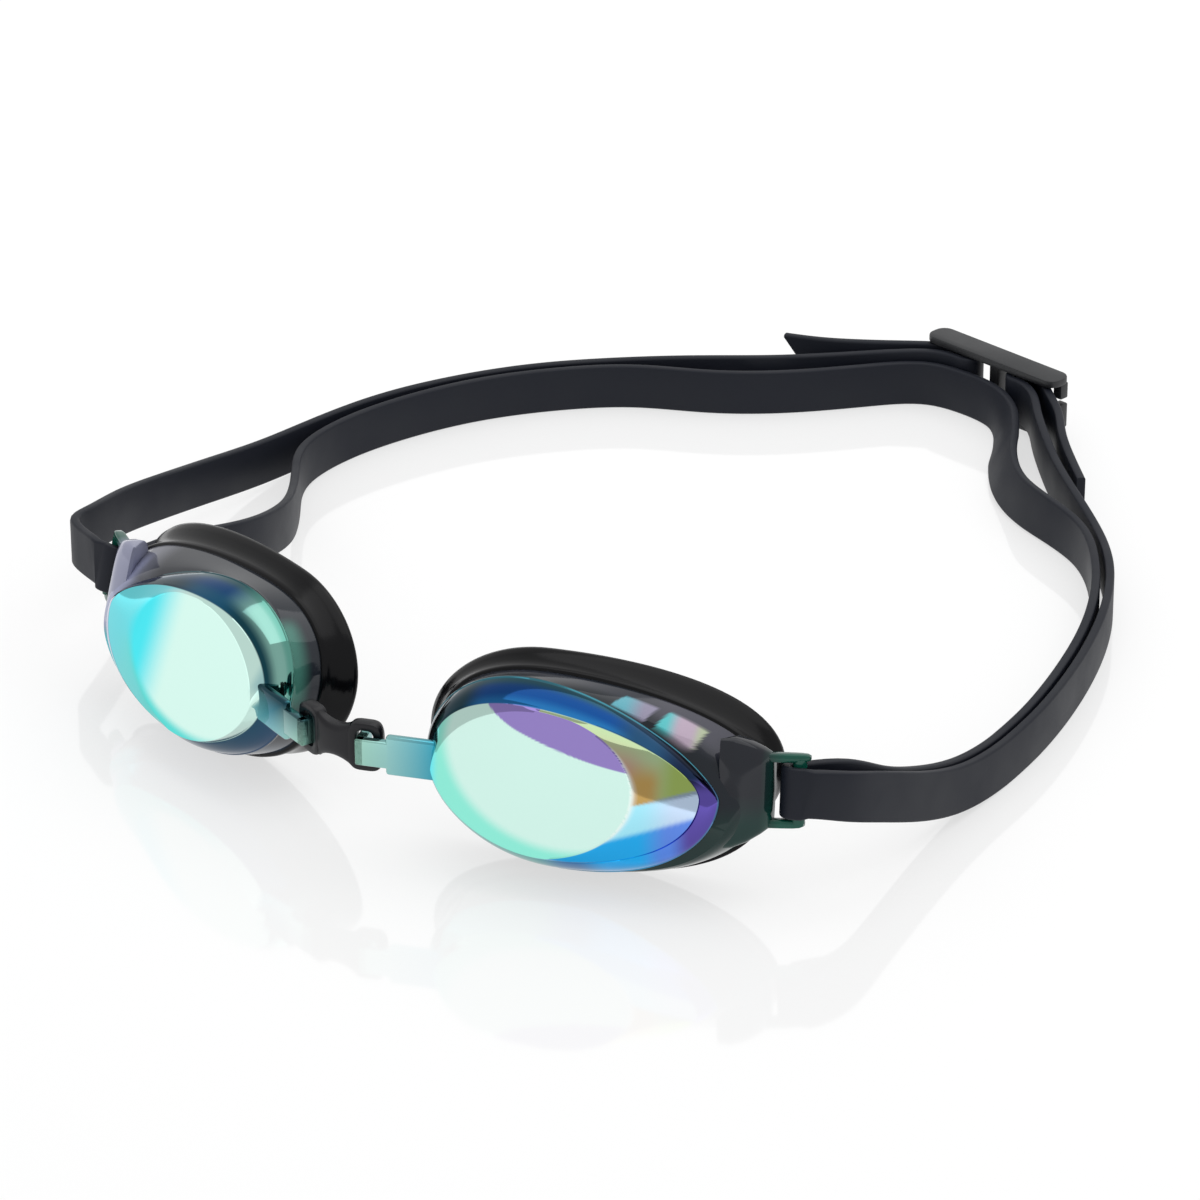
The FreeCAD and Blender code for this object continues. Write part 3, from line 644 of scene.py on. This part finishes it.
def make_lens(side):
    """The lens cup: face, bevel and wall outside, smoke-dark inside."""
    bm = new_mesh()
    loft(bm, LENS_TURNS, lens_rows(), cap_last=False)
    outside = set(bm.faces)
    edges = [edge for edge in bm.edges if edge.is_boundary]
    for place in inner_rows():
        edges = grow(bm, edges, place)
    bmesh.ops.holes_fill(bm, edges=edges, sides=0)
    for face in bm.faces:
        face.material_index = 0 if face in outside else 1
    name = "left_lens_moulding" if side > 0 else "right_lens_moulding"
    matrix = placed(side, lens_matrix())
    obj = finish_piece(bm, name, [COATED, LENS_BACK], matrix, smooth_deg=28)
    paint(obj, matrix, lambda u, v, n: lens_paint(u, v, n, side))
    return obj


# The wing's sections from inside the wall to the slot: u, lowest and highest v, front and back n.
WING_ROWS = [(23.0, -8.8, 8.4, -4.6, -5.4), (25.0, -8.6, 8.6, -4.0, -9.7), (27.2, -7.6, 7.9, -4.8, -9.9),
             (29.0, -6.4, 6.9, -6.2, -10.2), (30.3, -5.3, 5.9, -7.8, -10.4)]
ARM_ROWS = ((28.4, 0.9), (30.4, 0.95), (32.2, 0.95), (33.8, 0.92), (34.8, 0.80), (35.3, 0.5))


WING_SINK = 0.7


def sunk_limit(u, v):
    """Lowest n the wing may have at a place, so that it sinks into the wall without showing in the eye cup."""
    turn = math.atan2(v / CORE_HALF_V, (u - CORE_U) / CORE_HALF_U)
    reach = math.hypot(v / CORE_HALF_V, (u - CORE_U) / CORE_HALF_U)
    share = (reach - rim_reach(turn)) / (seat_reach(turn) - rim_reach(turn))
    if share >= 1:
        return -20.0
    step = max(0.0, share) ** (1 / (0.62 - 0.34 * low_temple(turn)))
    return rim_edge(turn) - 0.4 + (SEAT_N - rim_edge(turn) + 0.4) * step - WING_SINK


def section_row(u, low, high, front, back, power=0.5):
    """Row of the wing: a rounded section across it."""
    def place(share):
        turn = 2 * math.pi * share
        across = math.copysign(abs(math.cos(turn)) ** power, math.cos(turn))
        through = math.copysign(abs(math.sin(turn)) ** power, math.sin(turn))
        v = (low + high) / 2 + across * (high - low) / 2
        return Vector((u, v, max(sunk_limit(u, v), (front + back) / 2 + through * (front - back) / 2)))
    return place


def make_wing(side):
    """Smooth wing from the wall to its two arms, with the upright strap bar across the slot between them."""
    bm = new_mesh()
    loft(bm, 64, [section_row(*row) for row in WING_ROWS])
    for low, high, reach in ((BAR_V + SLOT_HIGH / 2, BAR_V + SLOT_HIGH / 2 + ARM, 0.2),
                             (BAR_V - SLOT_HIGH / 2 - ARM, BAR_V - SLOT_HIGH / 2, -0.4)):
        rows = []
        for u, size in ARM_ROWS:
            middle = BAR_N + 0.34 * (BAR_U - u)
            spare = (high - low) / 2 * (1 - size)
            rows.append(section_row(u + reach, low + spare, high - spare, middle + 1.1 * size, middle - 1.1 * size))
        loft(bm, 32, rows)
    add_rod(bm, (BAR_U, BAR_V - SLOT_HIGH / 2 - 0.6, BAR_N), (BAR_U, BAR_V + SLOT_HIGH / 2 + 0.6, BAR_N), BAR_RADIUS)
    name = "left_lens_wing" if side > 0 else "right_lens_wing"
    matrix = placed(side, lens_matrix())
    obj = finish_piece(bm, name, COATED, matrix)
    paint(obj, matrix, lambda u, v, n: (wing_paint(u, v, side), 0.1))
    return obj


def tab_matrix():
    """Axes of a nose tab: x back along it from the shoulder's end, y behind it, z up."""
    along = Vector((math.cos(TAB_TURN), math.sin(TAB_TURN), 0))
    behind = Vector((-math.sin(TAB_TURN), math.cos(TAB_TURN), 0))
    turn = Matrix((along, behind, Vector((0, 0, 1)))).transposed().to_4x4()
    return Matrix.Translation(TAB_END) @ turn


def tab_paint(x, y, z, side):
    """Painted reflections on the coated tab: pale aqua towards the lens, mint on the neck, darker along the edges."""
    colour = mix((0.34, 0.60, 0.50), (0.26, 0.52, 0.53), smooth(-1.0, 1.0, x))
    colour = mix(colour, (0.04, 0.34, 0.46), smooth(4.0, 7.0, x))
    # The right tab is painted dark above a low mint patch.
    if side < 0:
        colour = mix(colour, (0.01, 0.05, 0.07), smooth(1.0, 2.4, z))
    return mix(colour, (0.05, 0.26, 0.28), smooth(0.6, 1.4, y))


def make_hook(side):
    """Nose tab: shoulder plate, neck and the peg that hooks into the nosepiece."""
    bm = new_mesh()
    shoulder = add_box(bm, (0.0, 0.0, -3.3), (8.5, 1.5, 3.3))
    neck = add_box(bm, (-4.9, 0.0, -2.2), (0.5, 1.5, 2.2))
    peg = add_box(bm, (-4.9, 0.0, -2.2), (-3.4, 4.7, 2.2))
    round_edges(bm, shoulder, 0.5)
    round_edges(bm, neck + peg, 0.28)
    name = "left_nose_tab" if side > 0 else "right_nose_tab"
    matrix = placed(side, tab_matrix())
    obj = finish_piece(bm, name, COATED, matrix)
    paint(obj, matrix, lambda x, y, z: (tab_paint(x, y, z, side), 0.9))
    return obj


# ---------------------------------------------------------------- gaskets

def make_gasket(side):
    """Soft ring: a step over the seat, a waist, a flared flank and a rounded lip."""
    bm = new_mesh()
    profile = [(-1.2, -9.9, 0.0), (0.25, -9.9, 0.0), (0.5, -10.1, 0.0), (0.52, -10.8, 0.05), (0.3, -11.5, 0.2),
               (0.05, -12.3, 0.45), (0.05, -13.2, 0.7), (0.1, -14.0, 0.92), (0.05, -14.6, 1.0), (-0.15, -15.0, 1.0),
               (-0.6, -15.25, 1.0), (-1.3, -15.3, 1.0), (-2.4, -15.2, 1.0), (-3.2, -15.0, 1.0), (-3.6, -14.6, 1.0),
               (-3.4, -14.0, 0.9), (-2.8, -13.0, 0.6), (-2.2, -11.8, 0.3), (-1.7, -10.8, 0.1)]
    rows = [level(between(seat_reach, lip_reach, share), n, -out) for out, n, share in profile]
    edges = first_ring(bm, 180, rows[0])
    for place in rows[1:] + rows[:1]:
        edges = grow(bm, edges, place)
    bmesh.ops.remove_doubles(bm, verts=bm.verts, dist=0.001)
    matrix = placed(side, lens_matrix())
    name = "left_gasket_ring" if side > 0 else "right_gasket_ring"
    return finish_piece(bm, name, GASKET, matrix, smooth_deg=70)


# ---------------------------------------------------------------- nosepiece

LOOP_MIDDLE, LOOP_HALF_X, LOOP_HALF_Z = -3.85, 2.75, 4.1


def add_loop(bm, turn):
    """Rounded soft loop round a tab's neck and peg, as a ring of one rounded section."""
    profile = [(0.0, 2.2), (0.0, 3.6), (-0.12, 3.88), (-0.4, 4.0), (-1.0, 4.0), (-1.25, 3.9), (-1.35, 3.6),
               (-1.35, 2.2), (-1.25, 1.9), (-1.0, 1.8), (-0.4, 1.8), (-0.12, 1.92)]

    def row(out, behind):
        def place(share):
            angle = 2 * math.pi * share
            x = math.copysign(abs(math.cos(angle)) ** 0.5, math.cos(angle)) * (LOOP_HALF_X + out)
            z = math.copysign(abs(math.sin(angle)) ** 0.5, math.sin(angle)) * (LOOP_HALF_Z + out)
            return turn @ Vector((LOOP_MIDDLE + x, behind, z))
        return place

    rows = [row(*point) for point in profile]
    edges = first_ring(bm, 64, rows[0])
    for place in rows[1:] + rows[:1]:
        edges = grow(bm, edges, place)
    bmesh.ops.remove_doubles(bm, verts=bm.verts, dist=0.001)


def make_nosepiece():
    """Two closed loops over the pegs, joined by the bridge over the nose."""
    bm = new_mesh()
    for side in (1, -1):
        add_loop(bm, (MIRROR if side < 0 else Matrix.Identity(4)) @ tab_matrix())
    inner = tab_matrix() @ Vector((-6.0, 2.9, 0))
    stations = []
    for step in range(17):
        share = step / 16
        x = inner.x * (1 - 2 * share)
        y = inner.y + (-7.4 - inner.y) * math.sin(math.pi * share)
        waist = math.sin(math.pi * share) ** 0.7
        stations.append((Vector((x, y, 18.2)), 7.6 - 2.2 * waist, 2.1 + 0.8 * waist))

    def section(at):
        middle, height, thick = stations[at]
        before, after = stations[max(0, at - 1)][0], stations[min(16, at + 1)][0]
        along = (after - before).normalized()
        through = Vector((0, 0, 1)).cross(along)

        def place(share):
            turn = 2 * math.pi * share
            high = math.copysign(abs(math.sin(turn)) ** 0.6, math.sin(turn)) * height / 2
            wide = math.copysign(abs(math.cos(turn)) ** 0.6, math.cos(turn)) * thick / 2
            return middle + Vector((0, 0, high)) + through * wide
        return place

    loft(bm, 32, [section(at) for at in range(17)])
    return finish_piece(bm, "nosepiece_loops", NOSE_RUBBER, TO_FRAME)


# ---------------------------------------------------------------- strap

STRAP_WIDE, STRAP_THICK = 8.0, 1.5
LOW = STRAP_WIDE / 2
FOLD_RADIUS = BAR_RADIUS + 0.25 + STRAP_THICK / 2
FOLD_LEAD = 1.2
CLIP_CENTRE = Vector((-3.2, 187.0, 5.6))
CLIP_TURN = math.radians(-9.9)
CLIP_BAR_S, CLIP_BAR_T = 6.4, -0.7

# The band's middle line: x, y, height, and the lean of its top in degrees.
LEFT_OUTER_RUN = [
    (72.0, 23.8, 16.9, -2), (73.2, 32.0, 13.6, 0), (73.6, 43.0, 9.0, 0), (73.8, 54.0, 5.6, 0), (73.4, 66.0, 4.1, 0),
    (72.0, 80.0, LOW, 0), (69.0, 94.5, LOW, 0), (64.8, 108.5, LOW, 0), (59.0, 122.5, LOW, 0), (51.2, 135.2, LOW, 0),
    (41.6, 145.6, LOW, 0), (32.2, 154.4, LOW, 0), (23.8, 162.5, 4.2, 0), (17.0, 169.8, 4.8, 0),
    (12.4, 175.2, 5.3, 0), (8.6, 179.9, 5.5, 0)]
LEFT_TAIL = [
    (7.6, 185.0, 5.6, 0), (11.4, 181.2, 5.5, 0), (15.4, 177.2, 5.2, 0), (19.9, 171.2, 4.8, 0), (25.8, 164.4, 4.3, 0),
    (32.2, 157.7, LOW, 0)]
INNER_RUN = [
    (68.4, 26.0, 17.0, 0), (71.1, 34.0, 13.2, 0), (71.6, 43.0, 9.2, 0), (71.8, 54.0, 5.8, 0), (71.4, 66.0, 4.1, 0),
    (70.0, 80.0, LOW, 0), (67.0, 94.0, LOW, 0), (62.8, 108.0, LOW, 0), (57.0, 121.5, LOW, 0), (50.0, 133.0, LOW, 0),
    (41.6, 142.0, 4.1, -2), (32.0, 147.3, 4.1, -6), (24.0, 151.4, 4.1, -12), (16.8, 158.0, 4.1, -24),
    (11.0, 166.8, 4.0, -32), (6.2, 175.0, 4.1, -22), (-0.2, 181.0, 4.1, -4), (-8.2, 183.2, LOW, 0),
    (-14.6, 182.9, LOW, 0), (-23.0, 176.2, LOW, 0), (-34.0, 164.8, LOW, 0), (-45.0, 157.2, LOW, 0),
    (-56.6, 151.6, LOW, 0), (-66.4, 143.2, LOW, 0), (-75.6, 131.0, LOW, 0), (-81.8, 117.0, LOW, 0),
    (-84.8, 103.0, LOW, 0), (-83.6, 91.0, 4.2, 0), (-77.0, 80.2, 5.2, 0), (-69.6, 69.8, 7.4, 0),
    (-63.6, 59.4, 10.4, 0), (-60.0, 48.0, 13.4, 0), (-59.4, 37.0, 16.2, 0), (-61.6, 28.0, 17.4, 0)]
RIGHT_OUTER_RUN = [
    (-74.4, 21.6, 17.6, 0), (-78.8, 24.6, 17.2, 0), (-81.0, 30.4, 16.2, 0), (-84.2, 42.0, 13.8, 0),
    (-87.0, 56.0, 10.6, 0), (-88.6, 72.0, 7.4, 0), (-89.2, 87.0, 5.0, 0), (-88.6, 101.0, 4.1, 0),
    (-85.6, 115.6, LOW, 0), (-80.0, 128.6, LOW, 0), (-71.4, 141.6, LOW, 0), (-60.6, 152.6, LOW, 0),
    (-49.6, 161.6, LOW, 0), (-38.0, 169.6, 4.2, 0), (-28.0, 176.8, 4.8, 0), (-21.0, 181.8, 5.3, 0),
    (-15.6, 185.0, 5.5, 0)]
RIGHT_TAIL = [
    (-13.8, 189.3, 5.6, 0), (-18.0, 187.4, 5.6, 0), (-23.4, 184.0, 5.6, 0), (-29.0, 180.6, 5.6, 0),
    (-35.0, 178.1, 5.4, 0), (-41.2, 176.5, 5.2, 0)]


def clip_matrix():
    """Clip axes: s along it towards the left temple, t away from the head."""
    s = Vector((math.cos(CLIP_TURN), math.sin(CLIP_TURN), 0))
    t = Vector((-math.sin(CLIP_TURN), math.cos(CLIP_TURN), 0))
    turn = Matrix((s, t, Vector((0, 0, 1)))).transposed().to_4x4()
    return Matrix.Translation(CLIP_CENTRE) @ turn


def fold(centre, axis, begin, turn_deg, steps=20):
    """Stations (middle, up, way on) of the band round an upright bar."""
    outward, up = Vector(begin).normalized(), Vector(axis).normalized()
    made = []
    for step in range(steps + 1):
        turn = Matrix.Rotation(math.radians(turn_deg) * step / steps, 3, up)
        out = turn @ outward
        made.append((centre + out * FOLD_RADIUS, up, up.cross(out) * math.copysign(1, turn_deg)))
    return made


def temple_fold(side, outer_deg, inner_deg):
    u, v, n = lens_axes()
    centre = lens_matrix() @ Vector((BAR_U, BAR_V, BAR_N))
    begin = u * math.cos(math.radians(outer_deg)) + n * math.sin(math.radians(outer_deg))
    turn = outer_deg - inner_deg
    if side < 0:
        centre, v, begin, turn = MIRROR @ centre, MIRROR @ v, MIRROR @ begin, -turn
    return fold(centre, v, begin, turn)


def clip_fold(side):
    carry = clip_matrix()
    centre = carry @ Vector((side * CLIP_BAR_S, CLIP_BAR_T, 0))
    inward = carry @ Vector((side * CLIP_BAR_S, CLIP_BAR_T - 1, 0)) - centre
    return fold(centre, Vector((0, 0, 1)), inward, -180 * side)


def smooth_line(knots):
    """Curve through the knots with even curvature, as a function of the distance along it."""
    points = np.array([list(k) for k in knots], float)
    length = np.concatenate([[0.0], np.cumsum(np.linalg.norm(np.diff(points, axis=0), axis=1))])
    gaps = np.diff(length)
    count = len(points)
    system, right = np.zeros((count, count)), np.zeros((count, 3))
    system[0, 0] = system[-1, -1] = 1.0
    for i in range(1, count - 1):
        system[i, i - 1:i + 2] = gaps[i - 1], 2 * (gaps[i - 1] + gaps[i]), gaps[i]
        right[i] = 6 * ((points[i + 1] - points[i]) / gaps[i] - (points[i] - points[i - 1]) / gaps[i - 1])
    bends = np.linalg.solve(system, right)

    def at(distance):
        i = int(min(max(np.searchsorted(length, distance) - 1, 0), count - 2))
        gap = gaps[i]
        b = (distance - length[i]) / gap
        a = 1 - b
        value = a * points[i] + b * points[i + 1] + ((a ** 3 - a) * bends[i] + (b ** 3 - b) * bends[i + 1]) * gap * gap / 6
        return Vector(value)
    return at, length


STATION_PITCH = 1.4


def run(points, start=None, end=None):
    """Stations of the band through its route; start and end are the neighbouring folds' stations."""
    middles = [Vector(p[:3]) for p in points]
    knots = list(middles)
    lead = 0
    if start:
        knots = [start[0], start[0] + start[2] * FOLD_LEAD] + knots
        lead = 2
    if end:
        knots = knots + [end[0] - end[2] * FOLD_LEAD, end[0]]
    at, length = smooth_line(knots)
    places = length[lead:lead + len(points)]
    leans = [p[3] for p in points]
    total = length[-1]
    count = max(4, round(total / STATION_PITCH))
    made = []
    for step in range(count + 1):
        here = total * step / count
        middle = at(here)
        ahead, behind = at(min(total, here + 0.05)), at(max(0.0, here - 0.05))
        along = (ahead - behind).normalized()
        middle.z = max(middle.z, LOW)
        lean = math.radians(float(np.interp(here, places, leans)))
        side = Vector((0, 0, 1)).cross(along).normalized()
        up = Vector((0, 0, math.cos(lean))) + side * math.sin(lean)
        up = (up - along * up.dot(along)).normalized()
        made.append((middle, up, along))
    if start:
        made[0] = start
    if end:
        made[-1] = end
    return made


def turned_round(stations):
    """The same stations travelled the other way."""
    return [(middle, up, -along) for middle, up, along in reversed(stations)]


def band_offsets():
    """The band's rounded cross-section, as (across, through) round its edge."""
    radius = 0.42
    made = []
    for corner, (across_sign, through_sign) in enumerate(((1, 1), (-1, 1), (-1, -1), (1, -1))):
        for step in range(4):
            turn = math.radians(90 * corner + 30 * step)
            made.append((across_sign * (STRAP_WIDE / 2 - radius) + radius * math.cos(turn),
                         through_sign * (STRAP_THICK / 2 - radius) + radius * math.sin(turn)))
    return made


BAND = band_offsets()


NOTCH_DEPTH, NOTCH_REACH = 2.6, 6.0


def notch_tip(bm, tip):
    """Cuts the V into the end of a tail by drawing its middle line back from the tip."""
    middle, up, along = tip
    cut = bmesh.ops.bisect_plane(bm, geom=bm.verts[:] + bm.edges[:] + bm.faces[:], plane_co=middle, plane_no=up)
    for vert in {item for item in cut["geom_cut"] if isinstance(item, bmesh.types.BMVert)}:
        back = (middle - vert.co).dot(along)
        if back < NOTCH_REACH and (middle - vert.co).length < 2 * NOTCH_REACH:
            vert.co -= along * NOTCH_DEPTH * (1 - max(0.0, back) / NOTCH_REACH)


def make_band(name, stations, notched=False):
    """One stretch of the strap, swept through its stations."""
    bm = new_mesh()

    def row(station):
        middle, up, along = station
        through = up.cross(along)

        def place(share):
            across, out = BAND[round(share * len(BAND)) % len(BAND)]
            return middle + up * across + through * out
        return place

    loft(bm, len(BAND), [row(s) for s in stations])
    if notched:
        notch_tip(bm, stations[-1])
    return finish_piece(bm, name, STRAP, TO_FRAME, smooth_deg=50)


def strap_stations():
    """Stations of the whole band, from the left tail's tip to the right tail's tip."""
    left_fold, right_fold = temple_fold(1, 62, 220), temple_fold(-1, 84, 168)
    left_clip, right_clip = clip_fold(1), clip_fold(-1)
    right_back = turned_round(right_fold)
    parts = [
        turned_round(run(LEFT_TAIL, left_clip[-1])),
        turned_round(left_clip),
        turned_round(run(LEFT_OUTER_RUN, turned_round(left_fold)[-1], left_clip[0])),
        left_fold,
        run(INNER_RUN, left_fold[-1], right_back[0]),
        right_back,
        run(RIGHT_OUTER_RUN, right_back[-1], right_clip[0]),
        right_clip,
        run(RIGHT_TAIL, right_clip[-1]),
    ]
    made, marks = [], []
    for part in parts:
        made += part if not made else part[1:]
        marks.append(len(made) - 1)
    return made, marks


def first_station(stations, begin, test):
    """Index of the first station from begin on whose middle passes the test."""
    return next(i for i in range(begin, len(stations)) if test(stations[i][0]))


def make_strap():
    """The strap in five stretches, cut where both neighbours follow the same body."""
    stations, marks = strap_stations()
    cuts = [0]
    cuts.append(first_station(stations, marks[1], lambda p: p.y < 128))
    cuts.append(first_station(stations, marks[3], lambda p: p.y > 130))
    cuts.append(first_station(stations, cuts[-1] + 40, lambda p: p.x < -70 and p.y < 134))
    cuts.append(first_station(stations, marks[5], lambda p: p.y > 134))
    cuts.append(len(stations) - 1)
    names = ["strap_left_tail_and_strand", "strap_left_temple", "strap_behind_head", "strap_right_temple",
             "strap_right_strand_and_tail"]
    made = {}
    for at, name in enumerate(names):
        made[name] = make_band(name, stations[cuts[at]:cuts[at + 1] + 1], notched=name.endswith("and_tail"))
    return made


# ---------------------------------------------------------------- rear clip

def make_clip():
    """Two rails with round ends, a middle post, two adjuster bars and split end posts."""
    bm = new_mesh()
    turn = clip_matrix()
    for low in (4.2, -5.6):
        rail = add_box(bm, (-15.2, -2.6, low), (15.2, 2.6, low + 1.4))
        round_edges(bm, rail, 2.1, 6, lambda e: abs(e.verts[0].co.z - e.verts[1].co.z) > 1.0)
    add_box(bm, (-1.1, -0.9, -4.3), (1.1, 2.2, 4.3))
    for side in (-1, 1):
        add_rod(bm, (side * 6.4, -0.7, -4.4), (side * 6.4, -0.7, 4.4), 1.1)
        for low, high in ((-4.3, 0.3), (1.3, 4.3)):
            add_box(bm, (side * 13.85 - 0.95, 0.3, low), (side * 13.85 + 0.95, 2.2, high))
    sharp = [e for e in bm.edges if len(e.link_faces) == 2 and e.calc_face_angle(0.0) > math.radians(60)]
    bmesh.ops.bevel(bm, geom=sharp, offset=0.28, offset_type="OFFSET", affect="EDGES", segments=2, profile=0.5,
                    material=-1, clamp_overlap=True)
    return finish_piece(bm, "strap_clip_moulding", CLIP_PLASTIC, TO_FRAME @ turn)


# ---------------------------------------------------------------- assembly

for side, body, word in ((1, LEFT, "left"), (-1, RIGHT, "right")):
    cup, wing, tab = make_lens(side), make_wing(side), make_hook(side)
    for piece in (cup, wing, tab):
        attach(piece, body)
    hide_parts(word + "_lens")
    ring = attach(make_gasket(side), body)
    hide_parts(word + "_gasket")

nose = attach(make_nosepiece(), ROOT)
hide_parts("nosepiece")

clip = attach(make_clip(), CLIP)
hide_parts("strap_clip")

strap = make_strap()


def here(x, y, z):
    return TO_FRAME @ Vector((x, y, z))


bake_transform(strap["strap_left_tail_and_strand"], ROOT, CLIP, here(47, 140, 4), here(14, 174, 5))
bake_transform(strap["strap_left_temple"], ROOT, LEFT, here(72, 84, 5), here(70, 27, 16))
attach(strap["strap_behind_head"], ROOT)
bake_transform(strap["strap_right_temple"], ROOT, RIGHT, here(-80, 86, 5), here(-68, 26, 16))
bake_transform(strap["strap_right_strand_and_tail"], ROOT, CLIP, here(-62, 151, 4), here(-22, 181, 5))
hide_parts("head_strap")


# ---------------------------------------------------------------- table, light and camera

def make_floor():
    bm = new_mesh()
    bmesh.ops.create_grid(bm, x_segments=2, y_segments=2, size=3.0)
    floor = finish_piece(bm, "table_top", None, Matrix.Translation((0, 0, -0.00005)))
    material, nodes, links, shader = new_material("white_table")
    grain = add_grain(nodes, links, shader, 60, 4, 0.00001, 0.02)
    two_tones(nodes, links, shader, grain.outputs["Mottle"], (0.30, 0.30, 0.30), (0.32, 0.32, 0.32))
    shader.inputs["Roughness"].default_value = 0.06
    shader.inputs["IOR"].default_value = 1.5
    shader.inputs["Emission Color"].default_value = (1, 1, 1, 1)
    shader.inputs["Emission Strength"].default_value = 0.64
    floor.data.materials.clear()
    floor.data.materials.append(material)


def add_lamp(name, place, aim, size, power, colour=(1, 1, 1)):
    data = bpy.data.lights.new(name, "AREA")
    data.shape = "RECTANGLE"
    data.size, data.size_y = size
    data.energy = power
    data.color = colour
    lamp = bpy.data.objects.new(name, data)
    lamp.location = place
    lamp.rotation_euler = (Vector(aim) - Vector(place)).to_track_quat("-Z", "Y").to_euler()
    bpy.context.scene.collection.objects.link(lamp)


def make_light():
    world = bpy.data.worlds.new("studio")
    bpy.context.scene.world = world
    world.use_nodes = True
    world.node_tree.nodes["Background"].inputs["Color"].default_value = (1, 1, 1, 1)
    world.node_tree.nodes["Background"].inputs["Strength"].default_value = 0.80
    add_lamp("top_softbox", (0.1, 0.25, 0.9), (0, 0, 0), (1.0, 1.0), 3.2)


def make_camera():
    azimuth, elevation = math.radians(35.573), math.radians(26.247)
    way = Vector((-math.sin(azimuth) * math.cos(elevation), math.cos(azimuth) * math.cos(elevation),
                  -math.sin(elevation)))
    right = Vector((math.cos(azimuth), math.sin(azimuth), 0))
    up = right.cross(way)
    eye = TO_FRAME @ (right * 35.942 + up * 34.713 - way * 961.74)
    data = bpy.data.cameras.new("camera")
    data.sensor_width = 36.0
    data.lens = 186.0
    data.clip_start, data.clip_end = 0.05, 20.0
    camera = bpy.data.objects.new("camera", data)
    bpy.context.scene.collection.objects.link(camera)
    camera.matrix_world = Matrix.Translation(eye) @ Matrix((right, up, -way)).transposed().to_4x4()
    bpy.context.scene.camera = camera


make_floor()
make_light()
make_camera()
bpy.context.scene.view_settings.view_transform = "Standard"
